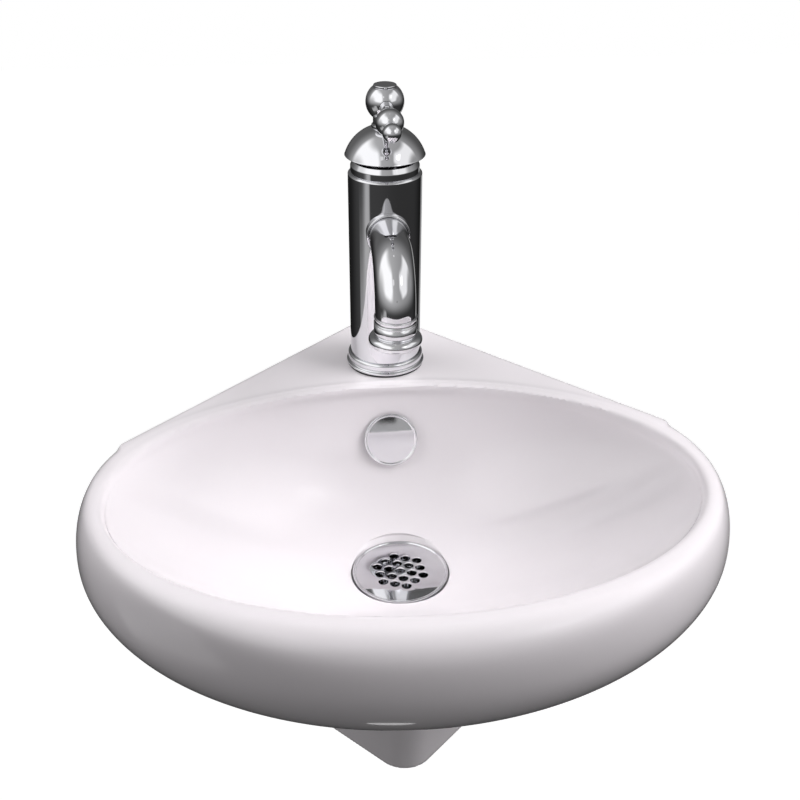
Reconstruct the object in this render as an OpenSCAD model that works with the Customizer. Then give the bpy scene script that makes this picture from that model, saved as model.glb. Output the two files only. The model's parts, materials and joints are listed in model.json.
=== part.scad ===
// Corner basin: a wall-hung porcelain hand basin for a room corner, with its
// single-lever tap, its overflow cover and its grid waste.
// The origin is where the two room walls meet, at the height of the deck.
// +Z is up, the walls run along y = -|x|, and the user stands on the -Y side.

/* [Oval basin] */
// Widest outer width of the oval
basin_w = 400; // [380:1:430]
// Outer depth of the oval, front to back
basin_d = 296; // [285:1:310]
// Distance of the oval's centre from the wall corner
basin_y = 233; // [228:1:240]
// Height of the rim above the deck
rim_h = 1; // [0.5:0.1:1.5]
// Depth below the deck at which the oval is widest
belly_z = 33; // [30:1:38]
// Height of the oval below its widest line
belly_h = 82; // [78:1:88]
// Width of the rim's outer roll at the two sides
roll_side = 15; // [12:0.5:18]
// Width of the rim's outer roll at the front
roll_front = 23; // [18:0.5:28]

/* [Inner bowl] */
// Width of the opening inside the rim
bowl_w = 360; // [345:1:366]
// Depth of the opening inside the rim, front to back
bowl_d = 232; // [224:1:236]
// Distance of the opening's centre from the wall corner
bowl_y = 238.5; // [236:0.5:242]
// Depth of the bowl's floor below the deck
bowl_depth = 100; // [95:1:102]
// Width of the rim's inner rounding
lip_w = 5; // [3:0.5:7]
// Height of the rim's inner rounding
lip_h = 8; // [6:0.5:10]

/* [Deck and walls] */
// Length of the deck along each wall
deck_leg = 257; // [250:1:262]
// Thickness of the deck at its edges
deck_t = 24; // [20:1:28]
// Thickness of the deck under the tap
tap_deck_t = 16; // [12:1:18]
// Length of the square end of the deck
deck_end = 40; // [34:1:46]
// Radius of the deck's upright corners
deck_r = 6; // [4:0.5:10]
// Rounding of the deck's top edge
deck_edge = 2; // [1:0.5:3]
// Thickness of the plates that lie on the walls
plate_t = 12; // [10:0.5:14]
// Height of the plates that lie on the walls
plate_h = 130; // [120:1:140]

/* [Lower shroud] */
// Side of the square shroud below the bowl
shroud_side = 191.5; // [186:0.5:196]
// Depth of the shroud's lower edge below the deck
shroud_h = 224; // [205:1:235]
// Thickness of the shroud's two flanks
shroud_t = 9; // [8:0.5:11]
// Radius of the shroud's front corner
shroud_r = 22; // [16:1:28]

/* [Wall fixings] */
// Diameter of the two fixing holes
fix_d = 14; // [10:0.5:16]
// Distance of the fixing holes from the wall corner
fix_s = 125; // [115:1:135]
// Depth of the fixing holes below the deck
fix_z = 102; // [98:1:108]

/* [Waste] */
// Distance of the waste's centre behind the shroud's front edge
waste_y = 67.8; // [65:0.2:71]
// Diameter of the hole for the waste
waste_hole_d = 45; // [44:0.5:47]
// Thickness of the porcelain that the waste clamps
waste_seat_t = 24; // [22:1:28]
// Diameter of the boss round the waste hole
boss_d = 80; // [76:1:84]
// Diameter of the chrome flange
flange_d = 64.5; // [62:0.5:68]
// Thickness of the chrome flange
flange_t = 3.5; // [3:0.5:5]
// Height of the rim around the flange
flange_bead = 0.8; // [0.5:0.1:1.2]
// Diameter of the threaded waste body
waste_d = 41.5; // [40:0.5:43]
// Wall of the threaded waste body
waste_wall = 3.5; // [3:0.5:4.5]
// Length of the waste body below its flange
waste_len = 62; // [56:1:68]
// Diameter of a hole in the grid
grid_hole_d = 6.1; // [5:0.1:7]
// Spacing of the holes in the grid
grid_pitch = 8; // [7.5:0.1:8.2]
// Angle by which the grid's rows are turned
grid_turn = -20; // [-30:1:30]
// Outside diameter of the tailpiece
tail_d = 31.75; // [30:0.25:32]
// Wall of the tailpiece
tail_wall = 1.5; // [1.2:0.1:2]
// Length of the tailpiece
tail_len = 90; // [70:1:110]
// Thickness of the gasket under the flange
waste_gasket_t = 1.5; // [1:0.5:2]
// Thickness of the tapered gasket below the porcelain
cone_gasket_t = 6; // [5:0.5:8]
// Thickness of the slip washer above the locknut
slip_washer_t = 1.5; // [1:0.5:2]
// Width across the flats of the locknut
locknut_af = 54; // [52:1:58]
// Thickness of the locknut
locknut_t = 9; // [7:0.5:11]

/* [Overflow] */
// Height of the overflow's centre below the deck
over_z = 40; // [38:1:43]
// Upward tilt of the overflow cover, beyond that of the wall behind it
over_tilt = 1.2; // [0:0.1:3]
// Diameter of the overflow hole
over_hole_d = 22; // [20:0.5:24]
// Depth of the overflow hole
over_hole_depth = 10; // [8:0.5:11]
// Diameter of the overflow cover
over_d = 37.5; // [35:0.5:40]
// Thickness of the overflow cover
over_t = 2; // [1.5:0.1:2.5]
// Distance of the cover's back from the porcelain
over_gap = 2.5; // [2:0.1:3.5]
// Diameter of the channel down to the waste
duct_d = 9; // [8:0.5:10]

/* [Tap body] */
// Distance of the tap's axis from the wall corner
tap_y = 81; // [79:0.5:82]
// Diameter of the tap hole in the deck
tap_hole_d = 35; // [34:0.5:36]
// Diameter of the upright body
tap_d = 49.5; // [49:0.5:51]
// Height of the body's top above the deck
tap_h = 142; // [136:1:150]
// Wall of the hollow lower body
tap_wall = 4; // [3.5:0.5:5]
// Height of the hollow inside the body
tap_hollow_h = 72; // [60:1:76]
// Diameter of the ring at the foot
foot_d = 55.5; // [54.5:0.5:56]
// Height of the ring at the foot
foot_h = 8; // [6:0.5:10]
// Thickness of the seal under the tap
seal_t = 1.5; // [1:0.5:2]
// Diameter of the hot and cold inlet holes
inlet_d = 8.9; // [8.5:0.1:9.5]
// Depth of the hot and cold inlet holes
inlet_len = 12; // [11:1:14]

/* [Spout] */
// Diameter of the spout's tube
spout_d = 26; // [25:0.5:27.5]
// Wall of the spout's tube
spout_wall = 2.5; // [2:0.5:3.5]
// Height of the spout's root above the deck
spout_z = 107; // [104:1:110]
// Reach of the outlet from the tap's axis
spout_reach = 80; // [76:1:86]
// Bend radius of the spout
spout_bend = 30; // [28:1:32]
// Diameter of the ring at the spout's root
root_ring_d = 29; // [28.5:0.5:31]
// Thickness of the ring at the spout's root
root_ring_t = 3.5; // [2.5:0.5:5]
// Length of straight tube below the bend
spout_drop = 1.5; // [1:0.5:4]
// Height of the outlet's neck
neck_h = 13; // [11:0.5:15]
// Diameter of the outlet's neck
neck_d = 27.5; // [27:0.5:29]
// Diameter of the rounded ring at the outlet
outlet_d = 34.5; // [33:0.5:37]
// Height of the rounded ring at the outlet
outlet_h = 8; // [6:0.5:10]

/* [Cartridge and collar] */
// Diameter of the cartridge
cart_d = 35; // [34:0.5:36]
// Height of the cartridge's lower part
cart_h = 20; // [18:0.5:21]
// Diameter of the chrome collar
collar_d = 46; // [45:0.5:46.5]
// Height of the chrome collar
collar_h = 9; // [8:0.5:9.5]
// Height of the lever's tilting axis above the body's top
pivot_h = 10; // [9.5:0.1:10.5]

/* [Handle] */
// Diameter of the dome
dome_d = 53.4; // [53:0.2:54.4]
// Height of the dome
dome_h = 19.5; // [18.5:0.5:21]
// Wall of the dome
dome_wall = 1.4; // [1.2:0.1:1.6]
// Gap between the top of the body and the dome
dome_gap = 11.5; // [11.2:0.1:12.5]
// Diameter of the ball on the dome
hub_d = 25; // [23:0.5:27]
// Height of the ball's centre above the dome
hub_rise = 15; // [14:0.5:17]
// Diameter of the cap on the ball
cap_d = 15; // [13:0.5:16]
// Thickness of the cap on the ball
cap_t = 1.6; // [1.2:0.1:2.4]
// Diameter of the lever's rod at the ball
rod_d = 8.8; // [8:0.2:10]
// Distance from the ball's centre to the lever's knob
knob_reach = 36.5; // [34:0.5:45]
// Diameter of the lever's knob
knob_d = 17.8; // [16:0.2:19]
// Distance from the knob's centre to the tip's centre
tip_reach = 16.5; // [15.5:0.5:19]
// Diameter of the tip
tip_d = 12; // [11:0.2:13]
// Angle by which the lever slopes down
lever_slope = 5; // [0:1:8]

/* [Fits] */
// Clearance on the radius of a running fit
run_fit = 0.05; // [0.03:0.01:0.08]
// Clearance on the radius of a piece that slips into place
slip_fit = 0.15; // [0.1:0.05:0.25]

/* [Hidden] */
$fn = 64;
oval_fn = 128;
hull_fn = 32;
eps = 0.01;
past = 1;

porcelain = [0.96, 0.95, 0.95];
chrome = [0.78, 0.8, 0.83];
brass = [0.8, 0.68, 0.35];
steel = [0.62, 0.63, 0.65];
black_rubber = [0.12, 0.12, 0.13];
clear_gasket = [0.75, 0.75, 0.72];
grey_plastic = [0.45, 0.47, 0.5];

// Fullness of the oval's underside
belly_round = 2.4;
// Fullness of the bowl's wall, and how soon it slopes in
bowl_round = 2.1;
bowl_slope = 1.2;

// Heights of the rim's rounding and of the bowl's wall below it
lip_z = rim_h - lip_h;
bowl_fall = bowl_depth + lip_z;
rim_half = bowl_w / 2 + lip_w;
// Flat on the rim's crest, and how far the side roll's own top would stand above it
rim_land = 1;
roll_rise = 1.5;
// The waste keeps its distance from the shroud's front edge, and the bowl's floor lies over it
waste_at = sqrt(2) * shroud_side - waste_y;
// How far the floor lies behind the middle of the opening
floor_shift = bowl_y - waste_at;
floor_shear = floor_shift / (bowl_depth + rim_h);
function bowl_centre(z) = -bowl_y + floor_shear * (rim_h - z);
function bowl_half_depth(z) =
    bowl_d / 2 * pow(1 - pow((lip_z - z) / bowl_fall, bowl_slope), 1 / bowl_round);
function bowl_back(z) = bowl_centre(z) + bowl_half_depth(z);
function bowl_lean(z) = atan((bowl_back(z + 1) - bowl_back(z - 1)) / 2);

// Points of an oval arc, from angle a0 to angle a1 in n steps
function arc(cx, cz, rx, rz, a0, a1, n) =
    [for (i = [0 : n]) let (a = a0 + (a1 - a0) * i / n) [cx + rx * cos(a), cz + rz * sin(a)]];

// Waste: the seat lies just below the floor. The cone gasket has a wide and a narrow face. The tailpiece's
// top is threaded, wider than its plain wall by tail_thread, and the waste body holds it over tail_grip.
cone_wide_d = 62;
cone_narrow_d = 54;
slip_washer_d = 56;
tail_grip = 20;
tail_shoulder = 2;
tail_thread = 0.75;
seat_drop = 1;
seat_z = -bowl_depth - seat_drop;
seat_margin = 1;
boss_z = seat_z - waste_seat_t;
flange_z = seat_z + waste_gasket_t;

// Overflow: the hole leads to a channel that runs down and forward to the waste
bend_ease = 1;
over_y = bowl_back(-over_z);
over_lean = bowl_lean(-over_z) + over_tilt;
hole_end_y = over_y + over_hole_depth * cos(over_lean);
hole_end_z = -over_z - over_hole_depth * sin(over_lean);
duct_cover = 5;
duct_drop = 25;
duct_y = hole_end_y - duct_d / 2;
duct_bend_z = hole_end_z - duct_drop;
duct_end_y = -waste_at + waste_hole_d / 2 - 2;
duct_end_z = boss_z + duct_d / 2 + 3.5;
duct_path = [[0, duct_y, hole_end_z], [0, duct_y, duct_bend_z], [0, duct_end_y, duct_end_z]];

// Tap: heights from the deck, places from the tap's axis
tap_r = tap_d / 2;
spot_d = 54;
spot_z = -95;
// Distance from the walls at which the oval is cut flat
wall_clear = 1;
// Plane between the bowl's piece and the corner piece, and the size of the pieces that hold the fixings
corner_y = tap_y + spot_d / 2 + 2;
lug_w = 36;
stud_d = 8;
stud_y = -12;
stud_seat = 10;
stud_z = -62;
gasket_d = 49;
gasket_h = 3;
washer_d = 47;
washer_t = 3;
nut_af = 13;
nut_h = 6.5;
ceiling_z = seal_t + tap_hollow_h;
inlet_x = 7.5;
inlet_y = 5;
feed_d = 6;
cart_step = 2;
cart_top = tap_h - cart_step;
cart_z = cart_top - cart_h;
cart_neck_d = 28;
cart_neck_top = tap_h + 7;
nut_d = 40.6;
nut_below = 6;
nut_above = 2;
socket_d = 20;
socket_depth = 14;
outlet_bore = 10;
rotor_d = 20;
rotor_seat = 9;
rotor_disc_d = 22;
pivot_z = tap_h + pivot_h;
pin_d = 4;
pin_len = 21;
ear_top = pivot_z + pin_d;
slot_w = 8;
stem_eye_d = 9;
stem_d = 8;
run_gap = 0.3;

// Handle: the dome is part of a sphere, flat on top where the ball's foot stands
dome_z = tap_h + dome_gap;
dome_half = dome_d / 2;
dome_sphere = (dome_half * dome_half + dome_h * dome_h) / (2 * dome_h);
dome_centre = dome_z + dome_h - dome_sphere;
hub_foot_r = 8.9;
hub_foot_h = 2;
hub_neck_r = 7.8;
hub_foot_z = dome_centre + sqrt(dome_sphere * dome_sphere - hub_foot_r * hub_foot_r);
hub_z = dome_z + dome_h + hub_rise;
hub_flat = 9.4 / 12.5 * hub_d / 2;
boss_bottom = pivot_z + 9;
socket_r = 7.5;
stem_top = hub_foot_z - 5.6;
spigot_d = 6;
spigot_len = 4;
grub_d = 4;
grub_z = (boss_bottom + stem_top) / 2;
rod_seat = sqrt(hub_d * hub_d / 4 - rod_d * rod_d / 4) - 0.4;
rod_root_d = 6;
rod_root_len = 7;
rod_end_d = 7;
knob_flat = knob_d / 2 - 0.7;
knob_bolt_d = 5;
tip_grip = 5.5;

// Spout and outlet, from the spout's root
neck_top = spout_z - spout_bend - spout_drop;
outlet_top = neck_top - neck_h;
outlet_z = outlet_top - outlet_h;
outlet_bore_d = 22;
outlet_lip_d = 18;
aerator_h = 5;
washer_h = 1.5;

module oval(ratio) scale([1, ratio, 1]) rotate_extrude($fn = oval_fn) children();

// Straight run of diameter d between two points of the plane x = 0
module run(p, q, d) {
    dy = q[1] - p[1];
    dz = q[2] - p[2];
    translate(p) rotate([atan2(-dy, dz), 0, 0]) cylinder(d = d, h = norm([dy, dz]));
}

module ring(outer, inner, h) {
    difference() {
        cylinder(d = outer, h = h);
        translate([0, 0, -past]) cylinder(d = inner, h = h + 2 * past);
    }
}

module at_tap(z) translate([0, -tap_y, z]) children();

module at_waste(z) translate([0, -waste_at, z]) children();

// Z runs out of the bowl's back wall, square to the overflow cover
module at_overflow() translate([0, over_y, -over_z]) rotate([90 - over_lean, 0, 0]) children();

// X and Y run along the two walls, away from their corner
module in_corner() rotate(-135) children();

module on_each_wall() {
    in_corner() children();
    in_corner() mirror([1, -1, 0]) children();
}

// Basin: outer oval, its softer front roll, deck, wall plates, shroud and waste boss
module outer_oval() {
    half = basin_w / 2;
    crest = half - roll_side;
    translate([0, -basin_y, 0]) oval(basin_d / basin_w) polygon(concat(
        [[0, rim_h + roll_rise]],
        arc(crest, -belly_z, roll_side, rim_h + roll_rise + belly_z, 90, 0, 10),
        [for (i = [1 : 14]) let (a = 90 * i / 14)
            [half * pow(cos(a), 2 / belly_round), -belly_z - belly_h * sin(a)]]
    ));
}

module front_roll() {
    crest = rim_half + rim_land;
    ratio = (bowl_d / 2 + lip_w + rim_land) / crest;
    low = -belly_z - 3;
    half = crest + roll_front / ratio;
    floor_z = -belly_z - belly_h - past;
    translate([0, -bowl_y, 0]) oval(ratio) polygon(concat(
        [[0, rim_h]],
        arc(crest, low, roll_front / ratio, rim_h - low, 90, 0, 10),
        [[half, floor_z], [0, floor_z]]
    ));
}

module bowl_space() {
    multmatrix([[1, 0, 0, 0], [0, 1, -floor_shear, floor_shear * rim_h - bowl_y], [0, 0, 1, 0], [0, 0, 0, 1]])
        oval(bowl_d / bowl_w) polygon(concat(
            [[0, rim_h + past], [rim_half, rim_h + past]],
            arc(rim_half, lip_z, -lip_w, lip_h, 90, 0, 6),
            [for (i = [1 : 16]) let (a = 90 * i / 16)
                [bowl_w / 2 * pow(cos(a), 2 / bowl_round), lip_z - bowl_fall * pow(sin(a), 2 / bowl_slope)]]
        ));
}

module deck_plan(inset) {
    near = deck_r;
    far = deck_leg - deck_r;
    hull() for (p = [[near, near], [far, near], [far, deck_end], [deck_end, far], [near, far]])
        translate(p) circle(r = deck_r - inset, $fn = hull_fn);
}

module deck() {
    steps = [[0, -deck_edge], [0.3 * deck_edge, -0.3 * deck_edge], [deck_edge, 0]];
    in_corner() hull() {
        translate([0, 0, -deck_t]) linear_extrude(deck_t - deck_edge) deck_plan(0);
        for (s = steps) translate([0, 0, s[1] - eps]) linear_extrude(eps) deck_plan(s[0]);
    }
}

module shroud_plan(side, r) {
    square([side, side - r]);
    square([side - r, side]);
    translate([side - r, side - r]) circle(r = r);
}

module shroud(low, high = deck_t / 2) {
    in_corner() translate([0, 0, -low]) linear_extrude(low - high) difference() {
        shroud_plan(shroud_side, shroud_r);
        translate([-past, -past]) shroud_plan(shroud_side - shroud_t + past, shroud_r - shroud_t);
    }
}

module wall_plates() {
    on_each_wall() translate([0, 0, -plate_h]) cube([shroud_side, plate_t, plate_h - deck_t / 2]);
}

// Oval bowl's outside, cut flat where it would pass the walls
module oval_body() {
    intersection() {
        outer_oval();
        front_roll();
        in_corner() translate([wall_clear, wall_clear, -shroud_h])
            cube([2 * deck_leg, 2 * deck_leg, 2 * shroud_h]);
    }
}

// Part of a wall plate round a fixing hole
module fixing_window() {
    translate([fix_s - lug_w / 2, 0, -plate_h]) cube([lug_w, plate_t, plate_h - fix_z + lug_w / 2]);
}

module fixing_hole() {
    translate([fix_s, -past, -fix_z]) rotate([-90, 0, 0]) cylinder(d = fix_d, h = plate_t + 2 * past);
}

// Space in front of the corner piece or behind the bowl's piece, above the lower shroud
module half_space(front) {
    reach = 2 * deck_leg;
    translate([-reach, front ? -2 * reach - corner_y : -corner_y, -plate_h])
        cube([2 * reach, 2 * reach, 2 * plate_h]);
}

module duct(d) {
    for (i = [0, 1]) run(duct_path[i], duct_path[i + 1], d);
    translate(duct_path[1]) sphere(d = d + bend_ease);
}

// The basin is one casting. It is given as five pieces that meet face to face: the bowl, the corner under
// the tap, the lower shroud, and the two parts of the wall plates that hold the fixings.
module basin() {
    color(porcelain) difference() {
        intersection() {
            union() {
                oval_body();
                deck();
                wall_plates();
                shroud(plate_h);
                run(duct_path[1], duct_path[2], duct_d + 2 * duct_cover);
                at_waste(boss_z) cylinder(d = boss_d, h = waste_seat_t);
            }
            half_space(true);
        }
        bowl_space();
        at_waste(seat_z) cylinder(d = flange_d + 2 * seat_margin, h = bowl_depth / 5);
        at_waste(boss_z - past) cylinder(d = waste_hole_d, h = waste_seat_t + 2 * past);
        at_overflow() translate([0, 0, -over_hole_depth])
            cylinder(d = over_hole_d, h = 2 * over_hole_depth);
        duct(duct_d);
        on_each_wall() fixing_window();
    }
}

module basin_corner() {
    color(porcelain) difference() {
        intersection() {
            union() {
                oval_body();
                deck();
                wall_plates();
            }
            half_space(false);
        }
        at_tap(-deck_t - past) cylinder(d = tap_hole_d, h = deck_t + 2 * past);
        at_tap(spot_z) cylinder(d = spot_d, h = -tap_deck_t - spot_z);
        on_each_wall() fixing_window();
    }
}

module basin_shroud() color(porcelain) shroud(shroud_h, plate_h);

module fixing_plate_right() {
    color(porcelain) in_corner() mirror([1, -1, 0]) difference() {
        fixing_window();
        fixing_hole();
    }
}

module fixing_plate_left() {
    color(porcelain) in_corner() difference() {
        fixing_window();
        fixing_hole();
    }
}

// Overflow cover: a thin disc with a raised rim, on a slotted spigot
module overflow_cover() {
    r = over_d / 2;
    spigot_r = over_hole_d / 2 - slip_fit;
    depth = over_hole_depth - 4;
    color(chrome) at_overflow() difference() {
        rotate_extrude() polygon([
            [0, over_gap], [spigot_r - 1.5, over_gap], [spigot_r - 1.5, -depth], [spigot_r, -depth],
            [spigot_r, over_gap], [r - 0.6, over_gap], [r, over_gap + 0.6], [r, over_gap + over_t - 0.3],
            [r - 0.5, over_gap + over_t], [r - 1, over_gap + over_t - 0.2],
            [r - 1.4, over_gap + over_t - 0.6], [r / 2, over_gap + over_t - 0.35],
            [0, over_gap + over_t - 0.3]
        ]);
        for (a = [0, 90]) rotate(a) translate([-r, -5, -depth - past])
            cube([2 * r, 10, depth + past + over_gap - 0.4]);
    }
}

// Waste: threaded body with a perforated flange, its gaskets, nut and tailpiece
module grid_holes() {
    for (row = [-2 : 2]) {
        count = 5 - abs(row);
        for (i = [0 : count - 1])
            translate([(i - (count - 1) / 2) * grid_pitch, row * grid_pitch * sin(60), 0])
                cylinder(d = grid_hole_d, h = flange_t + 2 * past, $fn = 24);
    }
}

module waste_body() {
    r = flange_d / 2;
    top = flange_t - flange_bead;
    bore = waste_d / 2 - waste_wall;
    grip = tail_grip;
    tail_bore = tail_d / 2 + tail_thread + run_fit;
    port_z = duct_end_z - flange_z;
    color(chrome) at_waste(flange_z) difference() {
        rotate_extrude() polygon([
            [0, 0], [19.5, 0], [19.5, -1.5], [bore, -7], [bore, -waste_len + grip],
            [tail_bore, -waste_len + grip], [tail_bore, -waste_len], [waste_d / 2, -waste_len],
            [waste_d / 2, 0], [r - 1, 0], [r, 1], [r, flange_t - 0.5], [r - 0.5, flange_t],
            [r - 1.2, flange_t - 0.2], [r - 2, top - 0.1], [r - 8, top + 0.3], [0, top + 0.5]
        ]);
        rotate(grid_turn) translate([0, 0, -past]) grid_holes();
        for (a = [0, 90]) translate([0, 0, port_z]) rotate([90, 0, a])
            cylinder(d = duct_d, h = waste_d + 2 * past, center = true, $fn = 32);
    }
}

module waste_gasket() {
    color(clear_gasket) at_waste(seat_z) ring(flange_d - 5, waste_d + 2 * slip_fit, waste_gasket_t);
}

module cone_gasket() {
    bore = waste_d / 2 + slip_fit;
    color(black_rubber) at_waste(boss_z - cone_gasket_t) rotate_extrude() polygon([
        [bore, 0], [cone_narrow_d / 2, 0], [cone_wide_d / 2, cone_gasket_t - 1.5],
        [cone_wide_d / 2, cone_gasket_t], [bore, cone_gasket_t]
    ]);
}

module slip_washer() {
    color(grey_plastic) at_waste(boss_z - cone_gasket_t - slip_washer_t)
        ring(slip_washer_d, waste_d + 2 * slip_fit, slip_washer_t);
}

module locknut() {
    color(brass) at_waste(boss_z - cone_gasket_t - slip_washer_t - locknut_t) difference() {
        cylinder(d = locknut_af / cos(30), h = locknut_t, $fn = 6);
        translate([0, 0, -past]) cylinder(d = waste_d + 2 * slip_fit, h = locknut_t + 2 * past);
    }
}

module tailpiece() {
    r = tail_d / 2;
    thread_r = r + tail_thread;
    plain = tail_len - tail_grip - tail_shoulder;
    color(chrome) at_waste(flange_z - waste_len + tail_grip - tail_len) rotate_extrude() polygon([
        [r - tail_wall, 0], [r, 0], [r, plain], [thread_r, plain], [thread_r, tail_len],
        [r - tail_wall, tail_len]
    ]);
}

// Tap: body with its hollow foot, cartridge seat, spout socket and inlets
module tap_body() {
    h = tap_h - seal_t;
    chamfer = 1.2;
    color(chrome) at_tap(0) difference() {
        translate([0, 0, seal_t]) rotate_extrude() polygon([
            [0, 0], [tap_r, 0], [tap_r, h - chamfer], [tap_r - chamfer, h], [0, h]
        ]);
        cylinder(d = tap_d - 2 * tap_wall, h = ceiling_z + inlet_len);
        for (side = [-1, 1]) translate([side * inlet_x, inlet_y, ceiling_z])
            cylinder(d = feed_d, h = cart_z - ceiling_z + past, $fn = 32);
        translate([0, -tap_r + socket_depth, spout_z]) rotate([90, 0, 0])
            cylinder(d = socket_d + 2 * slip_fit, h = socket_depth + past);
        translate([0, -tap_r + socket_depth - outlet_bore / 2 - 1, spout_z])
            cylinder(d = outlet_bore, h = cart_z - spout_z + past);
        translate([0, 0, cart_z]) cylinder(d = cart_d + 2 * slip_fit, h = tap_h);
        translate([0, 0, tap_h - nut_below]) cylinder(d = nut_d + 2 * slip_fit, h = tap_h);
    }
}

// Block in the top of the hollow body that takes the two hoses and the stud
module inlet_block() {
    color(brass) at_tap(ceiling_z) difference() {
        cylinder(d = tap_d - 2 * tap_wall - 2 * slip_fit, h = inlet_len);
        for (side = [-1, 1]) translate([side * inlet_x, inlet_y, -past])
            cylinder(d = inlet_d, h = inlet_len + 2 * past);
        translate([0, stud_y, -past]) cylinder(d = stud_d + 2 * run_fit, h = stud_seat + past);
    }
}

module foot_seal() {
    color(black_rubber) at_tap(0) ring(foot_d - 1, tap_d - 2 * tap_wall, seal_t);
}

module foot_ring() {
    r = foot_d / 2;
    bore = tap_r + slip_fit;
    bead = (foot_h - 2.2) / 2;
    color(chrome) at_tap(seal_t) rotate_extrude() polygon(concat(
        [[bore, 0], [r, 0], [r, 1.4], [r - 0.8, 2]],
        arc(bore + 0.4, 2.2 + bead, r - 1 - bore, bead, -80, 90, 12),
        [[bore, foot_h]]
    ));
}

// Spout: a bent tube with a spigot in the body, and a ring at its root
module spout_path(d) {
    level = spout_reach - spout_bend;
    rotate([90, 0, 0]) cylinder(d = d, h = level);
    translate([0, -level, -spout_bend]) rotate([90, 0, -90]) rotate_extrude(angle = 90)
        translate([spout_bend, 0]) circle(d = d);
    translate([0, -spout_reach, -spout_bend - spout_drop]) cylinder(d = d, h = spout_drop);
}

module spout() {
    bore = spout_d - 2 * spout_wall;
    color(chrome) at_tap(spout_z) difference() {
        union() {
            difference() {
                spout_path(spout_d);
                translate([0, 0, -spout_d]) cylinder(r = tap_r + slip_fit, h = 2 * spout_d);
            }
            translate([0, -tap_r + socket_depth - 1, 0]) rotate([90, 0, 0])
                cylinder(d = socket_d, h = socket_depth + 3);
        }
        translate([0, -tap_r, 0]) rotate([90, 0, 0])
            cylinder(d = socket_d - 4, h = 2 * socket_depth, center = true);
        difference() {
            spout_path(bore);
            translate([0, 0, -spout_d]) cylinder(r = tap_r + 4, h = 2 * spout_d);
        }
        translate([0, -spout_reach, -spout_bend - spout_drop - past])
            cylinder(d = bore, h = spout_drop + past);
    }
}

module root_ring() {
    r = root_ring_d / 2;
    color(chrome) at_tap(spout_z) difference() {
        rotate([90, 0, 0]) rotate_extrude() polygon([
            [spout_d / 2 + slip_fit, 0], [r, 0], [r, tap_r + root_ring_t - 1],
            [r - 1, tap_r + root_ring_t], [spout_d / 2 + slip_fit, tap_r + root_ring_t]
        ]);
        translate([0, 0, -root_ring_d]) cylinder(r = tap_r + slip_fit, h = 2 * root_ring_d);
    }
}

module at_outlet(z) translate([0, -tap_y - spout_reach, z]) children();

module outlet_neck() {
    r = neck_d / 2;
    bore = outlet_lip_d / 2;
    h = neck_h;
    color(chrome) at_outlet(outlet_top) rotate_extrude() polygon([
        [bore, 0], [r, 0], [r, h - 6.4], [r - 0.4, h - 6], [r + 0.3, h - 5.4], [r + 0.3, h - 3.6],
        [r - 0.5, h - 3], [r + 0.2, h - 2.4], [r + 0.2, h - 0.8], [r - 0.8, h], [bore, h]
    ]);
}

module outlet_ring() {
    bore = outlet_bore_d / 2;
    r = outlet_d / 2;
    mid = outlet_h / 2;
    core = neck_d / 2 - 0.8;
    color(chrome) at_outlet(outlet_z) rotate_extrude() polygon(concat(
        [[bore, 0]],
        arc(core, mid, r - core, mid, -90, 90, 16),
        [[outlet_lip_d / 2, outlet_h], [outlet_lip_d / 2, outlet_h - 1], [bore, outlet_h - 1]]
    ));
}

module aerator_washer() {
    color(black_rubber) at_outlet(outlet_top - 1 - washer_h)
        ring(outlet_bore_d - 2 * slip_fit, 16, washer_h);
}

module aerator() {
    slot = 1.6;
    reach = outlet_bore_d / 2 - 2;
    color(grey_plastic) at_outlet(outlet_top - 1 - washer_h - aerator_h) difference() {
        cylinder(d = outlet_bore_d - 2 * slip_fit, h = aerator_h);
        for (i = [-3 : 3]) {
            half = sqrt(reach * reach - pow(i * 2.6, 2));
            translate([i * 2.6 - slot / 2, -half, -past]) cube([slot, 2 * half, aerator_h + 2 * past]);
        }
    }
}

// Cartridge with its nut and the collar over both
module cartridge() {
    color(grey_plastic) at_tap(0) difference() {
        union() {
            translate([0, 0, cart_z]) cylinder(d = cart_d, h = cart_h);
            translate([0, 0, cart_top - eps]) cylinder(d = cart_neck_d, h = cart_neck_top - cart_top + eps);
        }
        translate([0, 0, cart_neck_top - rotor_seat - run_gap])
            cylinder(d = rotor_d + 2 * run_fit, h = rotor_seat + past);
    }
}

module cartridge_nut() {
    low = tap_h - nut_below;
    color(brass) at_tap(low) difference() {
        cylinder(d = nut_d, h = nut_below + nut_above);
        translate([0, 0, -past]) cylinder(d = cart_d + 2 * slip_fit, h = cart_top - low + past);
        cylinder(d = cart_neck_d + 2 * slip_fit, h = nut_below + nut_above + past);
    }
}

module collar() {
    r = collar_d / 2;
    cavity = nut_d / 2 + slip_fit;
    eye = cart_neck_d / 2 + 1;
    top = collar_h;
    color(chrome) at_tap(tap_h) rotate_extrude() polygon([
        [cavity, 0], [r, 0], [r, top - 4.4], [r - 1.5, top - 1.2], [r - 2.6, top],
        [eye, top], [eye, top - 3], [cavity, top - 3]
    ]);
}

// Rotor: turns in the cartridge and carries the stem between its two ears
module rotor() {
    color(steel) at_tap(0) difference() {
        union() {
            translate([0, 0, cart_neck_top - rotor_seat])
                cylinder(d = rotor_d, h = rotor_seat + run_gap + eps);
            translate([0, 0, cart_neck_top + run_gap])
                cylinder(d = rotor_disc_d, h = ear_top - cart_neck_top - run_gap);
        }
        translate([-slot_w / 2 - run_gap / 2, -rotor_disc_d, pivot_z - stem_eye_d / 2 - run_gap])
            cube([slot_w + run_gap, 2 * rotor_disc_d, rotor_disc_d]);
        translate([0, 0, pivot_z]) rotate([0, 90, 0])
            cylinder(d = pin_d + 2 * run_fit, h = 2 * rotor_disc_d, center = true);
    }
}

module stem_pin() {
    color(steel) at_tap(pivot_z) rotate([0, 90, 0]) cylinder(d = pin_d, h = pin_len, center = true);
}

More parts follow.
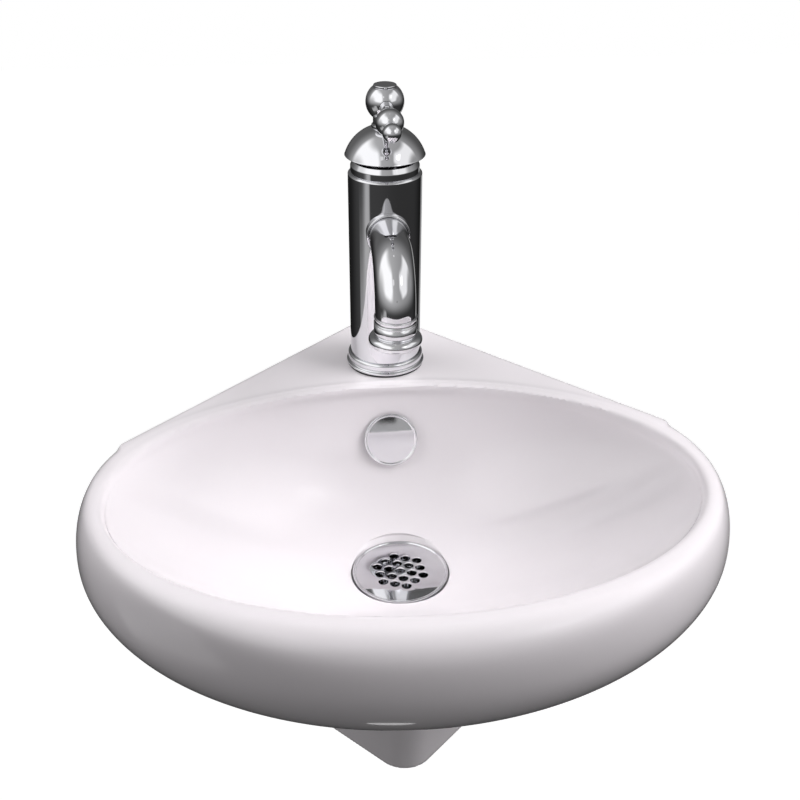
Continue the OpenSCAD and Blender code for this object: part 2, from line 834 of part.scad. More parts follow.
module stem() {
    shoulder = boss_bottom - pivot_z - run_gap;
    color(steel) at_tap(pivot_z) difference() {
        union() {
            rotate([0, 90, 0]) cylinder(d = stem_eye_d, h = slot_w, center = true);
            translate([-slot_w / 2, -slot_w / 2, 0]) cube([slot_w, slot_w, shoulder]);
            cylinder(d = stem_d, h = stem_top - pivot_z);
        }
        rotate([0, 90, 0]) cylinder(d = pin_d + 2 * run_fit, h = 2 * slot_w, center = true);
    }
}

module dome() {
    inner = dome_sphere - dome_wall;
    steps = 14;
    rim_angle = asin((dome_z - dome_centre) / dome_sphere);
    top_angle = asin((hub_foot_z - dome_centre) / dome_sphere);
    inner_low = asin((dome_z - dome_centre) / inner);
    inner_high = acos(socket_r / inner);
    color(chrome) at_tap(0) difference() {
        rotate_extrude() polygon(concat(
            arc(0, dome_centre, dome_sphere, dome_sphere, rim_angle, top_angle, steps),
            [[0, hub_foot_z], [0, boss_bottom], [socket_r, boss_bottom]],
            arc(0, dome_centre, inner, inner, inner_high, inner_low, steps)
        ));
        translate([0, 0, boss_bottom - past])
            cylinder(d = stem_d + 2 * slip_fit, h = stem_top + slip_fit - boss_bottom + past);
        translate([0, 0, hub_foot_z - spigot_len - slip_fit])
            cylinder(d = spigot_d + 2 * slip_fit, h = spigot_len + past);
        translate([0, 0, grub_z]) rotate([-90, 0, 0])
            cylinder(d = grub_d + 2 * run_fit, h = dome_d, $fn = 32);
    }
}

module grub_screw() {
    start = stem_d / 2 + run_fit;
    color(steel) at_tap(grub_z) translate([0, start, 0]) rotate([-90, 0, 0]) difference() {
        cylinder(d = grub_d, h = socket_r - stem_d / 2, $fn = 32);
        translate([0, 0, 1.5]) cylinder(d = 2, h = socket_r, $fn = 6);
    }
}

module hub() {
    r = hub_d / 2;
    rise = hub_z - hub_foot_z;
    neck_z = rise - sqrt(r * r - hub_neck_r * hub_neck_r);
    low = -acos(hub_neck_r / r);
    high = asin(hub_flat / r);
    color(chrome) at_tap(0) difference() {
        translate([0, 0, hub_foot_z]) rotate_extrude() polygon(concat(
            [[0, -spigot_len], [spigot_d / 2, -spigot_len], [spigot_d / 2, 0], [hub_foot_r, 0],
             [hub_foot_r, hub_foot_h - 0.6], [hub_foot_r - 0.6, hub_foot_h], [hub_neck_r, hub_foot_h],
             [hub_neck_r, neck_z]],
            arc(0, rise, r, r, low, high, 24),
            [[0, rise + hub_flat]]
        ));
        translate([0, 0, hub_z]) rotate([90 + lever_slope, 0, 0]) {
            translate([0, 0, rod_seat]) cylinder(d = rod_d + 2 * slip_fit, h = r);
            translate([0, 0, rod_seat - rod_root_len - slip_fit])
                cylinder(d = rod_root_d + 2 * slip_fit, h = r);
        }
    }
}

module hub_cap() {
    r = cap_d / 2;
    color(chrome) at_tap(hub_z + hub_flat) rotate_extrude() polygon([
        [0, 0], [r, 0], [r, cap_t - 0.5], [r - 0.4, cap_t - 0.1], [r - 1, cap_t], [0, cap_t]
    ]);
}

// Lever: Z runs from the centre of the ball along the rod
module at_lever(z) at_tap(hub_z) rotate([90 + lever_slope, 0, 0]) translate([0, 0, z]) children();

module lever_rod() {
    near = knob_reach - knob_flat;
    far = knob_reach + knob_flat;
    color(chrome) at_lever(0) {
        translate([0, 0, rod_seat - rod_root_len]) cylinder(d = rod_root_d, h = rod_root_len + past);
        translate([0, 0, rod_seat]) cylinder(d1 = rod_d, d2 = rod_end_d, h = near - rod_seat);
        translate([0, 0, near - past]) cylinder(d = knob_bolt_d, h = far - near + past + tip_grip);
    }
}

module lever_knob() {
    color(chrome) at_lever(knob_reach) difference() {
        intersection() {
            sphere(d = knob_d);
            cylinder(d = knob_d, h = 2 * knob_flat, center = true);
        }
        cylinder(d = knob_bolt_d + 2 * slip_fit, h = knob_d, center = true);
    }
}

module lever_tip() {
    neck_d = 7;
    color(chrome) at_lever(knob_reach) difference() {
        union() {
            translate([0, 0, knob_flat]) cylinder(d = neck_d, h = tip_reach - knob_flat);
            translate([0, 0, tip_reach]) sphere(d = tip_d);
        }
        cylinder(d = tip_d, h = knob_flat);
        cylinder(d = knob_bolt_d + 2 * slip_fit, h = knob_flat + tip_grip + slip_fit);
    }
}

// Fixing below the deck: stud, horseshoe gasket and washer, nut
module horseshoe(d, h) {
    gap = 28;
    difference() {
        cylinder(d = d, h = h);
        translate([-gap / 2, stud_y + 6, -past]) cube([gap, d, h + 2 * past]);
        translate([0, stud_y, -past]) cylinder(d = stud_d + 2 * slip_fit, h = h + 2 * past);
    }
}

module stud() {
    color(steel) at_tap(stud_z) translate([0, stud_y, 0])
        cylinder(d = stud_d, h = ceiling_z + stud_seat - stud_z);
}

module fixing_gasket() {
    color(black_rubber) at_tap(-tap_deck_t - gasket_h) horseshoe(gasket_d, gasket_h);
}

module fixing_washer() {
    color(steel) at_tap(-tap_deck_t - gasket_h - washer_t) horseshoe(washer_d, washer_t);
}

module fixing_nut() {
    color(brass) at_tap(-tap_deck_t - gasket_h - washer_t - nut_h) translate([0, stud_y, 0]) difference() {
        cylinder(d = nut_af / cos(30), h = nut_h, $fn = 6);
        translate([0, 0, -past]) cylinder(d = stud_d + 2 * run_fit, h = nut_h + 2 * past);
    }
}

basin();
basin_corner();
basin_shroud();
fixing_plate_left();
fixing_plate_right();
overflow_cover();
waste_body();
waste_gasket();
cone_gasket();
slip_washer();
locknut();
tailpiece();
tap_body();
inlet_block();
foot_ring();
foot_seal();
spout();
root_ring();
outlet_neck();
outlet_ring();
aerator();
aerator_washer();
cartridge();
cartridge_nut();
collar();
rotor();
stem_pin();
stem();
dome();
grub_screw();
hub();
hub_cap();
lever_rod();
lever_knob();
lever_tip();
stud();
fixing_gasket();
fixing_washer();
fixing_nut();
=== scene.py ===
"""Corner basin with a single-lever tap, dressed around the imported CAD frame."""
import json
import math

import bmesh
import bpy
import numpy as np
from mathutils import Matrix, Vector


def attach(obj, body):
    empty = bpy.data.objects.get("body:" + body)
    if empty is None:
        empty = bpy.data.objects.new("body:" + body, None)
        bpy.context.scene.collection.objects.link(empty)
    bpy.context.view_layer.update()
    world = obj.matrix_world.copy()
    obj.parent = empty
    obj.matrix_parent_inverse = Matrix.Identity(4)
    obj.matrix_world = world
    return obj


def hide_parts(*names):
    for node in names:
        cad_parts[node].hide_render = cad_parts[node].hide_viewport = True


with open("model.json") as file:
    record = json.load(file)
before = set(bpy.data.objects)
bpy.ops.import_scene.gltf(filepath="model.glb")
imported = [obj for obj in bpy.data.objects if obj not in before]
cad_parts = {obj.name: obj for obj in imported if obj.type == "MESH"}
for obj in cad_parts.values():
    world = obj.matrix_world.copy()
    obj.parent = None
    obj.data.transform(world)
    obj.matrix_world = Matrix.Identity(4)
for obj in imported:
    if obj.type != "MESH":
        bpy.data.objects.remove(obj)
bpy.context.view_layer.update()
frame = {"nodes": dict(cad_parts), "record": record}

MM = 0.001
SCENE = bpy.context.scene
NODES = frame["nodes"]


# ---- Mesh helpers ----

def add_mesh(name, verts, faces, smooth=True):
    """A mesh object from corners in millimetres."""
    mesh = bpy.data.meshes.new(name)
    corners = [tuple(v) for v in np.asarray(verts, float) * MM]
    mesh.from_pydata(corners, [], [tuple(f) for f in faces])
    mesh.validate()
    if smooth:
        mesh.shade_smooth()
    obj = bpy.data.objects.new(name, mesh)
    SCENE.collection.objects.link(obj)
    return obj


def rounded(points, radii, steps=5, support=0.12):
    """Closed outline with each corner rounded, but by no more than 0.45 of a side. A support point beside each
    rounding keeps the flats flat."""
    out = []
    straight = math.radians(176)
    n = len(points)
    for i, (p, r) in enumerate(zip(points, radii)):
        p = np.array(p, float)
        a = np.array(points[i - 1], float) - p
        b = np.array(points[(i + 1) % n], float) - p
        la, lb = np.linalg.norm(a), np.linalg.norm(b)
        a, b = a / la, b / lb
        turn = math.acos(max(-1.0, min(1.0, float(a @ b))))
        if r <= 0 or turn > straight:
            out.append(p)
            continue
        cut = min(r / math.tan(turn / 2), 0.45 * la, 0.45 * lb)
        real = cut * math.tan(turn / 2)
        middle = p + (a + b) / np.linalg.norm(a + b) * real / math.sin(turn / 2)
        start, end = p + a * cut, p + b * cut
        if la - cut > 3 * support:
            out.append(start + a * support)
        sweep = math.pi - turn
        va, vb = start - middle, end - middle
        for k in range(steps + 1):
            t = k / steps
            across = math.sin((1 - t) * sweep) * va + math.sin(t * sweep) * vb
            out.append(middle + across / math.sin(sweep))
        if lb - cut > 3 * support:
            out.append(end + b * support)
    return np.array(out)


def lathe(name, outline, segments=128, at=(0, 0, 0), turn=None):
    """Turned piece from a closed outline of (radius, height) points, counter-clockwise, with Z as its axis."""
    outline = np.asarray(outline, float)
    verts, rings = [], []
    angles = np.arange(segments) * 2 * math.pi / segments
    for r, z in outline:
        if r < 1e-6:
            rings.append([len(verts)])
            verts.append((0, 0, z))
        else:
            rings.append(list(range(len(verts), len(verts) + segments)))
            verts += [(r * math.cos(a), r * math.sin(a), z) for a in angles]
    faces = []
    for i, ring in enumerate(rings):
        nxt = rings[(i + 1) % len(rings)]
        if len(ring) == 1 and len(nxt) == 1:
            continue
        for k in range(segments):
            m = (k + 1) % segments
            if len(ring) == 1:
                faces.append((ring[0], nxt[m], nxt[k]))
            elif len(nxt) == 1:
                faces.append((ring[k], ring[m], nxt[0]))
            else:
                faces.append((ring[k], ring[m], nxt[m], nxt[k]))
    verts = np.array(verts)
    if turn is not None:
        verts = verts @ np.array(turn.to_3x3()).T
    return add_mesh(name, verts + np.array(at, float), faces)


def turned(name, points, radii, **kw):
    """Turned piece from corners with their rounding radii, or one radius for all."""
    if not hasattr(radii, "__len__"):
        radii = [radii] * len(points)
    return lathe(name, rounded(points, radii), **kw)


def arc(cx, cz, rx, rz, a0, a1, n):
    """Points of an oval arc from angle a0 to angle a1, in degrees."""
    angles = [math.radians(a) for a in np.linspace(a0, a1, n + 1)]
    return [(cx + rx * math.cos(a), cz + rz * math.sin(a)) for a in angles]


def boolean(obj, tool, operation="DIFFERENCE"):
    """Cuts the tool out of a piece, and removes the tool."""
    mod = obj.modifiers.new("cut", "BOOLEAN")
    mod.operation, mod.object, mod.solver = operation, tool, "MANIFOLD"
    dg = bpy.context.evaluated_depsgraph_get()
    mesh = bpy.data.meshes.new_from_object(obj.evaluated_get(dg))
    obj.modifiers.clear()
    obj.data = mesh
    bpy.data.objects.remove(tool)


def sharpen(obj, angle):
    """Smooth shading, broken at edges that turn by more than the angle, in degrees."""
    obj.data.shade_smooth()
    obj.data.set_sharp_from_angle(angle=math.radians(angle))
    return obj


# ---- Materials ----

def material(name, color, rough, metal=0.0, coat=0.0, ior=1.5, noise_scale=60.0, rough_var=0.0, bump=0.0,
             bump_scale=400.0, tint=None, tint_scale=8.0, tint_range=(0.35, 0.75), stretch=None):
    """Principled material whose roughness, height and colour vary with noise in the object's own space."""
    mat = bpy.data.materials.new(name)
    mat.use_nodes = True
    nt = mat.node_tree
    bsdf = nt.nodes["Principled BSDF"]
    bsdf.inputs["Base Color"].default_value = (*color, 1)
    bsdf.inputs["Roughness"].default_value = rough
    bsdf.inputs["Metallic"].default_value = metal
    bsdf.inputs["Coat Weight"].default_value = coat
    bsdf.inputs["Coat Roughness"].default_value = 0.03
    bsdf.inputs["IOR"].default_value = ior
    coord = nt.nodes.new("ShaderNodeTexCoord")
    space = coord.outputs["Object"]
    if stretch:
        mapping = nt.nodes.new("ShaderNodeMapping")
        mapping.inputs["Scale"].default_value = stretch
        nt.links.new(space, mapping.inputs["Vector"])
        space = mapping.outputs["Vector"]

    def noise(scale, detail):
        node = nt.nodes.new("ShaderNodeTexNoise")
        node.inputs["Scale"].default_value = scale
        node.inputs["Detail"].default_value = detail
        nt.links.new(space, node.inputs["Vector"])
        return node.outputs["Fac"]

    if rough_var:
        span = nt.nodes.new("ShaderNodeMapRange")
        span.inputs["From Min"].default_value, span.inputs["From Max"].default_value = 0.3, 0.7
        span.inputs["To Min"].default_value = max(0.0, rough - rough_var)
        span.inputs["To Max"].default_value = rough + rough_var
        nt.links.new(noise(noise_scale, 4), span.inputs["Value"])
        nt.links.new(span.outputs["Result"], bsdf.inputs["Roughness"])
    if bump:
        node = nt.nodes.new("ShaderNodeBump")
        node.inputs["Strength"].default_value = bump
        node.inputs["Distance"].default_value = 0.0003
        nt.links.new(noise(bump_scale, 3), node.inputs["Height"])
        nt.links.new(node.outputs["Normal"], bsdf.inputs["Normal"])
    if tint:
        ramp = nt.nodes.new("ShaderNodeValToRGB")
        ramp.color_ramp.elements[0].position, ramp.color_ramp.elements[1].position = tint_range
        ramp.color_ramp.elements[0].color = (*color, 1)
        ramp.color_ramp.elements[1].color = (*tint, 1)
        nt.links.new(noise(tint_scale, 3), ramp.inputs["Fac"])
        nt.links.new(ramp.outputs["Color"], bsdf.inputs["Base Color"])
    return mat


MATERIALS = {
    "porcelain": material("glazed_porcelain", (0.91, 0.88, 0.9), 0.09, coat=0.6, rough_var=0.03, noise_scale=14,
                          bump=0.12, bump_scale=70, tint=(0.885, 0.86, 0.878), tint_scale=5),
    "chrome": material("polished_chrome", (0.82, 0.82, 0.84), 0.035, metal=1.0, rough_var=0.02, noise_scale=45,
                       bump=0.03, bump_scale=110, tint=(0.78, 0.78, 0.81), tint_scale=30),
    "brass": material("turned_brass", (0.62, 0.43, 0.16), 0.3, metal=1.0, rough_var=0.1, noise_scale=300, bump=0.25,
                      bump_scale=900, tint=(0.5, 0.33, 0.12), tint_scale=60, stretch=(1, 1, 6)),
    "steel": material("machined_steel", (0.5, 0.5, 0.52), 0.3, metal=1.0, rough_var=0.12, noise_scale=500, bump=0.25,
                      bump_scale=1200, tint=(0.4, 0.4, 0.42), tint_scale=80, stretch=(1, 1, 8)),
    "black_rubber": material("black_rubber", (0.022, 0.022, 0.024), 0.62, rough_var=0.1, noise_scale=200, bump=0.5,
                             bump_scale=1500, tint=(0.035, 0.035, 0.037), tint_scale=100),
    "clear_gasket": material("pale_gasket", (0.62, 0.61, 0.56), 0.4, rough_var=0.08, noise_scale=150, bump=0.3,
                             bump_scale=900, tint=(0.55, 0.54, 0.49), tint_scale=60),
    "grey_plastic": material("grey_moulding", (0.2, 0.21, 0.23), 0.42, rough_var=0.08, noise_scale=200, bump=0.35,
                             bump_scale=1600, tint=(0.17, 0.18, 0.2), tint_scale=50),
}
SLOT_OF = {s["node"]: s["material_slot"] for s in frame["record"]["subparts"]}
BODY_OF = {n: body for body, names in frame["record"]["behaviour"]["bodies"].items() for n in names}


def finish_piece(obj, node, *more):
    """Gives a piece its node's material, slot and body. It stands for the node and any more that it covers."""
    slot = SLOT_OF[node]
    obj.data.materials.clear()
    obj.data.materials.append(MATERIALS[slot])
    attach(obj, BODY_OF[node])
    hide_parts(node, *more)
    return obj


# ---- Porcelain: a distance field of the casting, turned into one smooth skin ----

def outline_field(points, size, step=0.5):
    """Grid of the signed distance to a closed outline in the (radius, height) plane, and of its radial slope."""
    (r0, r1), (z0, z1) = size
    r, z = np.arange(r0, r1 + step, step), np.arange(z0, z1 + step, step)
    R, Z = np.meshgrid(r, z, indexing="ij")
    best = np.full(R.shape, 1e9)
    inside = np.zeros(R.shape, bool)
    pts = np.asarray(points, float)
    for (ax, az), (bx, bz) in zip(pts, np.roll(pts, -1, 0)):
        ex, ez = bx - ax, bz - az
        t = np.clip(((R - ax) * ex + (Z - az) * ez) / max(ex * ex + ez * ez, 1e-12), 0, 1)
        if not (abs(ax) < 1e-9 and abs(bx) < 1e-9):
            best = np.minimum(best, (R - ax - t * ex) ** 2 + (Z - az - t * ez) ** 2)
        if az != bz:
            crossing = ((az > Z) != (bz > Z)) & (R < ax + (Z - az) * ex / ez)
            inside ^= crossing
    field = np.sqrt(best) * np.where(inside, -1, 1)
    slope = np.gradient(field, step, axis=0)
    return dict(field=field.astype(np.float32), slope=slope.astype(np.float32), r0=r0, z0=z0, step=step)


def look_up(table, r, z):
    """Distance and radial slope at any (radius, height), from the grid."""
    shape = table["field"].shape
    i = np.clip((r - table["r0"]) / table["step"], 0, shape[0] - 1.001)
    j = np.clip((z - table["z0"]) / table["step"], 0, shape[1] - 1.001)
    i0, j0 = i.astype(np.int32), j.astype(np.int32)
    u, v = i - i0, j - j0
    out = []
    for key in ("field", "slope"):
        f = table[key]
        low = f[i0, j0] * (1 - u) + f[i0 + 1, j0] * u
        high = f[i0, j0 + 1] * (1 - u) + f[i0 + 1, j0 + 1] * u
        out.append(low * (1 - v) + high * v)
    return out


def oval_distance(table, x, y, z, ratio):
    """Distance to a turned solid that is squeezed along Y by ratio."""
    ys = y / ratio
    rho = np.sqrt(x * x + ys * ys) + 1e-6
    d, slope = look_up(table, rho, z)
    stretch = (x * x + (ys / ratio) ** 2) / (rho * rho)
    return d / np.sqrt(np.clip(slope * slope * (stretch - 1) + 1, 0.2, 4))


def soft_min(a, b, k):
    """Union of two distance fields, with a fillet about k wide."""
    h = np.maximum(k - np.abs(a - b), 0) / k
    return np.minimum(a, b) - h * h * k / 4


def soft_max(a, b, k):
    """Intersection of two distance fields, with a rounding about k wide."""
    return -soft_min(-a, -b, k)


def slab(d, z, low, high, edge):
    """An outline's distance field made into a plate between two heights, with rounded edges."""
    dz = np.maximum(z - high, low - z)
    a, b = d + edge, dz + edge
    return np.minimum(np.maximum(a, b), 0) + np.sqrt(np.maximum(a, 0) ** 2 + np.maximum(b, 0) ** 2) - edge


def convex(u, v, corners, radius):
    """Distance to a convex outline, given counter-clockwise, whose corners have that radius."""
    d2 = np.full(u.shape, 1e9, np.float32)
    inside = np.ones(u.shape, bool)
    pts = np.array(corners, float)
    normals, offsets = [], []
    for a, b in zip(pts, np.roll(pts, -1, 0)):
        e = (b - a) / np.linalg.norm(b - a)
        n = np.array([e[1], -e[0]])
        normals.append(n)
        offsets.append(n @ a - radius)
    small = np.array([np.linalg.solve(np.array([normals[k - 1], normals[k]]),
                                      np.array([offsets[k - 1], offsets[k]])) for k in range(len(pts))])
    for a, b in zip(small, np.roll(small, -1, 0)):
        ex, ey = b - a
        t = np.clip(((u - a[0]) * ex + (v - a[1]) * ey) / (ex * ex + ey * ey), 0, 1)
        d2 = np.minimum(d2, (u - a[0] - t * ex) ** 2 + (v - a[1] - t * ey) ** 2)
        inside &= (ex * (v - a[1]) - ey * (u - a[0])) >= 0
    return np.sqrt(d2) * np.where(inside, -1, 1) - radius


# Sizes in millimetres. The corner of the walls is at x = y = 0, and the top of the deck at z = 0.
HALF_W = 200.0                              # half of the basin's width
CREST, RIM_H = 185.0, 1.0                   # top of the rim: from the middle to the side, and above the deck
BELLY_Z, BELLY_H = 33.0, 82.0               # depth of the widest place, and of the underside below it
BASIN_Y, OVAL_RATIO = 233.0, 296 / 400      # middle of the outer oval, and its depth over its width
BOWL_Y, BOWL_RATIO = 238.5, 232 / 360       # the same for the bowl's mouth
BOWL_DEPTH, LIP_W, LIP_H = 100.0, 5.0, 8.0  # the bowl, and the rounding at its mouth
LIP_Z = RIM_H - LIP_H
FALL = BOWL_DEPTH + LIP_Z                   # from the lip's inner edge to the lowest place
FRONT_CREST, FRONT_ROLL = 186.0, 23.0       # the front's rim, and the width of its softer roll
FRONT_RATIO = 122 / FRONT_CREST
TAP_Y, WASTE_Y, REACH = -81.0, -203.022, 80.0         # the tap, the waste, and the spout's reach
SHEAR = (BOWL_Y + WASTE_Y) / (BOWL_DEPTH + RIM_H)     # the bowl's middle moves back to the waste with depth
SEAT_Z, BOSS_R = -101.0, 40.0               # seat of the waste's gasket, and the boss around it
SIDE, WALL, PLATE = 191.5, 9.0, 12.0        # length of the wall plates and shroud, and their thicknesses
FIXING = (84.15, -92.63, -102)              # the fixing hole on the right
SPAN = ((0, 262), (-150, 40))               # radius and height that the tables cover


def quarter(steps):
    """Angles from 0 to 90 degrees, without the first."""
    return np.linspace(0, math.pi / 2, steps + 1)[1:]


OUTER = outline_field(
    [(0, RIM_H + 1.5)] + arc(CREST, -BELLY_Z, 15, RIM_H + 1.5 + BELLY_Z, 90, 0, 40)
    + [(HALF_W * math.cos(a) ** (2 / 2.4), -BELLY_Z - BELLY_H * math.sin(a)) for a in quarter(60)],
    SPAN)
FRONT = outline_field(
    [(0, RIM_H)] + arc(FRONT_CREST, -36, FRONT_ROLL / FRONT_RATIO, 37, 90, 0, 50)
    + [(FRONT_CREST + FRONT_ROLL / FRONT_RATIO, -149), (0, -149)],
    SPAN)
BOWL = outline_field(
    [(0, 39), (CREST + 6, 39), (CREST + 6, RIM_H)] + arc(CREST, LIP_Z, -LIP_W, LIP_H, 90, 0, 24)
    + [(180 * math.cos(a) ** (2 / 2.1), LIP_Z - FALL * math.sin(a) ** (2 / 1.2)) for a in quarter(80)],
    SPAN)


def below_both(u, v, size, radius):
    """Distance to the space where u and v are both below size, with its corner rounded."""
    a, b = np.maximum(u, v) - size, np.minimum(u, v) - size
    ra, rb = a + radius, b + radius
    corner = np.sqrt(np.maximum(ra, 0) ** 2 + np.maximum(rb, 0) ** 2) - radius
    return np.where((ra > 0) & (rb > 0), corner, a)


def round_bar(x, y, z, start, end, radius):
    """Distance to a bar with round ends, between two (y, z) places in the middle plane."""
    (ay, az), (by, bz) = start, end
    t = np.clip(((y - ay) * (by - ay) + (z - az) * (bz - az)) / ((by - ay) ** 2 + (bz - az) ** 2), 0, 1)
    return np.sqrt(x * x + (y - ay - t * (by - ay)) ** 2 + (z - az - t * (bz - az)) ** 2) - radius


def porcelain(x, y, z):
    """Signed distance to the casting without its drilled holes, in millimetres."""
    pebble = soft_max(oval_distance(OUTER, x, y + BASIN_Y, z, OVAL_RATIO),
                      oval_distance(FRONT, x, y + BOWL_Y, z, FRONT_RATIO), 3.0)
    s = math.sqrt(0.5)
    u, v = -(x + y) * s, (x - y) * s        # distances from the two walls
    pebble = soft_max(pebble, 1.0 - np.minimum(u, v), 2.0)
    leg, end = 257.0, 40.0
    deck = slab(convex(u, v, [(0, 0), (leg, 0), (leg, end), (end, leg), (0, leg)], 6.0), z, -24, 0, 2.0)
    left, right = (np.maximum(np.maximum(p - SIDE, -p), np.maximum(q - PLATE, -q)) for p, q in ((u, v), (v, u)))
    plates = slab(np.minimum(left, right), z, -130, -12, 1.5)
    shroud = np.maximum(below_both(u, v, SIDE, 22), -np.minimum(u, v))
    shroud = slab(np.maximum(shroud, -below_both(u, v, SIDE - WALL, 13)), z, -224, -12, 2.0)
    boss = np.sqrt(x * x + (y - WASTE_Y) ** 2) - BOSS_R
    boss = slab(boss, z, SEAT_Z - 24, SEAT_Z + 5, 2.0)
    channel = round_bar(x, y, z, (-119.06, -70.07), (-182.5, -117.0), 9.5)
    low = soft_min(soft_min(boss, channel, 6.0), pebble, 5.0)
    walls = soft_min(plates, shroud, 5.0)
    body = soft_min(soft_min(low, walls, 6.0), deck, 1.6)
    centre = -BOWL_Y + SHEAR * (RIM_H - z)
    bowl = oval_distance(BOWL, x, y - centre, z, BOWL_RATIO)
    return soft_max(body, -bowl, 1.6)


def cell_points(field):
    """Which cells of the grid the surface passes, and in each the mean place where it cuts the cell's edges."""
    n = np.array(field.shape) - 1
    corner = {(i, j, k): field[i:i + n[0], j:j + n[1], k:k + n[2]]
              for i in (0, 1) for j in (0, 1) for k in (0, 1)}
    count = sum((c < 0).astype(np.int8) for c in corner.values())
    mixed = (count > 0) & (count < 8)
    total, hits = np.zeros((mixed.sum(), 3)), np.zeros(mixed.sum())
    for c in corner:
        for axis in range(3):
            if c[axis]:
                continue
            d = tuple(1 if m == axis else c[m] for m in range(3))
            fa, fb = corner[c][mixed], corner[d][mixed]
            cross = (fa < 0) != (fb < 0)
            t = np.where(cross, fa / np.where(fa == fb, 1, fa - fb), 0)
            p = np.tile(np.array(c, float), (len(fa), 1))
            p[:, axis] += t
            total += p * cross[:, None]
            hits += cross
    return mixed, np.argwhere(mixed) + total / hits[:, None]


def cell_faces(field, mixed):
    """A face between the four cells around each edge of the grid that the surface cuts, turned outwards."""
    n = np.array(field.shape) - 1
    index = np.full(mixed.shape, -1, np.int64)
    index[mixed] = np.arange(mixed.sum())
    faces = []
    for axis in range(3):
        o1, o2 = [m for m in range(3) if m != axis]
        a = field[tuple(slice(0, n[m]) if m == axis else slice(1, n[m]) for m in range(3))]
        b = field[tuple(slice(1, n[m] + 1) if m == axis else slice(1, n[m]) for m in range(3))]
        where = np.argwhere((a < 0) != (b < 0))
        sign = a[tuple(where.T)] < 0
        where[:, o1] += 1
        where[:, o2] += 1
        quad = []
        for d1, d2 in ((0, 0), (1, 0), (1, 1), (0, 1)):
            w = where.copy()
            w[:, o1] -= d1
            w[:, o2] -= d2
            quad.append(index[tuple(w.T)])
        quad = np.stack(quad, 1)
        flip = sign if axis == 1 else ~sign
        quad[flip] = quad[flip][:, ::-1]
        faces.append(quad)
    return np.concatenate(faces)


def project(p, reach):
    """Points drawn onto the surface, by no more than reach, and the surface's normals there."""
    def value(q):
        return porcelain(q[:, 0], q[:, 1], q[:, 2]).astype(float)

    e = 0.25
    grad = np.stack([value(p + np.eye(3)[m] * e) - value(p - np.eye(3)[m] * e) for m in range(3)], 1) / (2 * e)
    size = np.maximum((grad ** 2).sum(1), 0.2)
    move = grad * (value(p) / size)[:, None]
    far = np.linalg.norm(move, axis=1, keepdims=True)
    return p - move * np.minimum(1, reach / np.maximum(far, 1e-9)), grad / np.sqrt(size)[:, None]


def skin(step, low, high, rounds=4):
    """Mesh of the field's surface, with one corner in each cell that it passes, evened out along the surface."""
    axes = [np.arange(a, b + step, step, dtype=np.float32) for a, b in zip(low, high)]
    field = np.empty([len(a) for a in axes], np.float32)
    X, Y = np.meshgrid(axes[0], axes[1], indexing="ij")
    for k, z in enumerate(axes[2]):
        field[:, :, k] = porcelain(X, Y, np.full_like(X, z))
    mixed, points = cell_points(field)
    verts = points * step + np.array([a[0] for a in axes])
    faces = cell_faces(field, mixed)

    a, b = np.concatenate([faces[:, [m, (m + 1) % 4]] for m in range(4)]).T
    n = len(verts)
    neighbours = np.bincount(a, minlength=n) + np.bincount(b, minlength=n)
    for _ in range(rounds):
        verts, normal = project(verts, step)
        near = np.stack([np.bincount(a, verts[b, m], n) + np.bincount(b, verts[a, m], n) for m in range(3)], 1)
        pull = near / neighbours[:, None] - verts
        pull -= normal * (pull * normal).sum(1, keepdims=True)
        verts = verts + 0.5 * pull
    for _ in range(2):
        verts, _normal = project(verts, step)
    return verts, faces


def make_basin():
    """The whole casting as one smooth skin, with its drilled holes cut."""
    step = 2.0
    verts, faces = skin(step, (-203.3, -384.3, -227.3), (203.4, 3.4, 4.4))
    basin = add_mesh("basin_casting", verts, faces)
    waste, tap = (0, WASTE_Y, 0), (0, TAP_Y, 0)
    over = overflow_frame()
    cuts = [
        turned("waste_seat", [(0, SEAT_Z), (33.25, SEAT_Z), (33.25, SEAT_Z + 3.5), (36, SEAT_Z + 7),
                              (36, SEAT_Z + 30), (0, SEAT_Z + 30)], [0, 0.6, 1.5, 0, 0, 0], at=waste),
        turned("waste_hole", [(0, -130), (22.5, -130), (22.5, SEAT_Z + 1), (0, SEAT_Z + 1)], 0, at=waste),
        turned("tap_hole", [(0, -30), (17.5, -30), (17.5, 3), (0, 3)], 0, at=tap),
        turned("hose_space", [(0, -95), (27, -95), (27, -16), (0, -16)], [0, 0, 1.5, 0], at=tap),
        turned("overflow_hole", [(0, -10), (11, -10), (11, -1.6), (13, 1.2), (13, 12), (0, 12)], [0, 0, 1.2, 0, 0, 0],
               at=over.translation / MM, turn=over),
    ]
    fixing_x, fixing_y, fixing_z = FIXING
    for side in (-1, 1):
        turn = Matrix.Rotation(math.radians(-45 * side), 4, "Z") @ Matrix.Rotation(math.radians(90), 4, "X")
        cuts.append(turned("fixing_hole", [(0, -8), (7, -8), (7, 8), (0, 8)], 0,
                           at=(side * fixing_x, fixing_y, fixing_z), turn=turn))
    for tool in cuts:
        boolean(basin, tool)
    sharpen(basin, 38)
    return finish_piece(basin, "basin", "basin_corner", "basin_shroud", "fixing_plate_left", "fixing_plate_right")


def overflow_frame():
    """Place of the overflow: its Z runs out of the bowl's back wall."""
    over_z, tilt = 40.0, 20.03
    half = 116 * (1 - ((LIP_Z + over_z) / FALL) ** 1.2) ** (1 / 2.1)
    y = -BOWL_Y + SHEAR * (RIM_H + over_z) + half
    return Matrix.Translation(Vector((0, y, -over_z)) * MM) @ Matrix.Rotation(math.radians(90 - tilt), 4, "X")


# ---- Waste and overflow ----

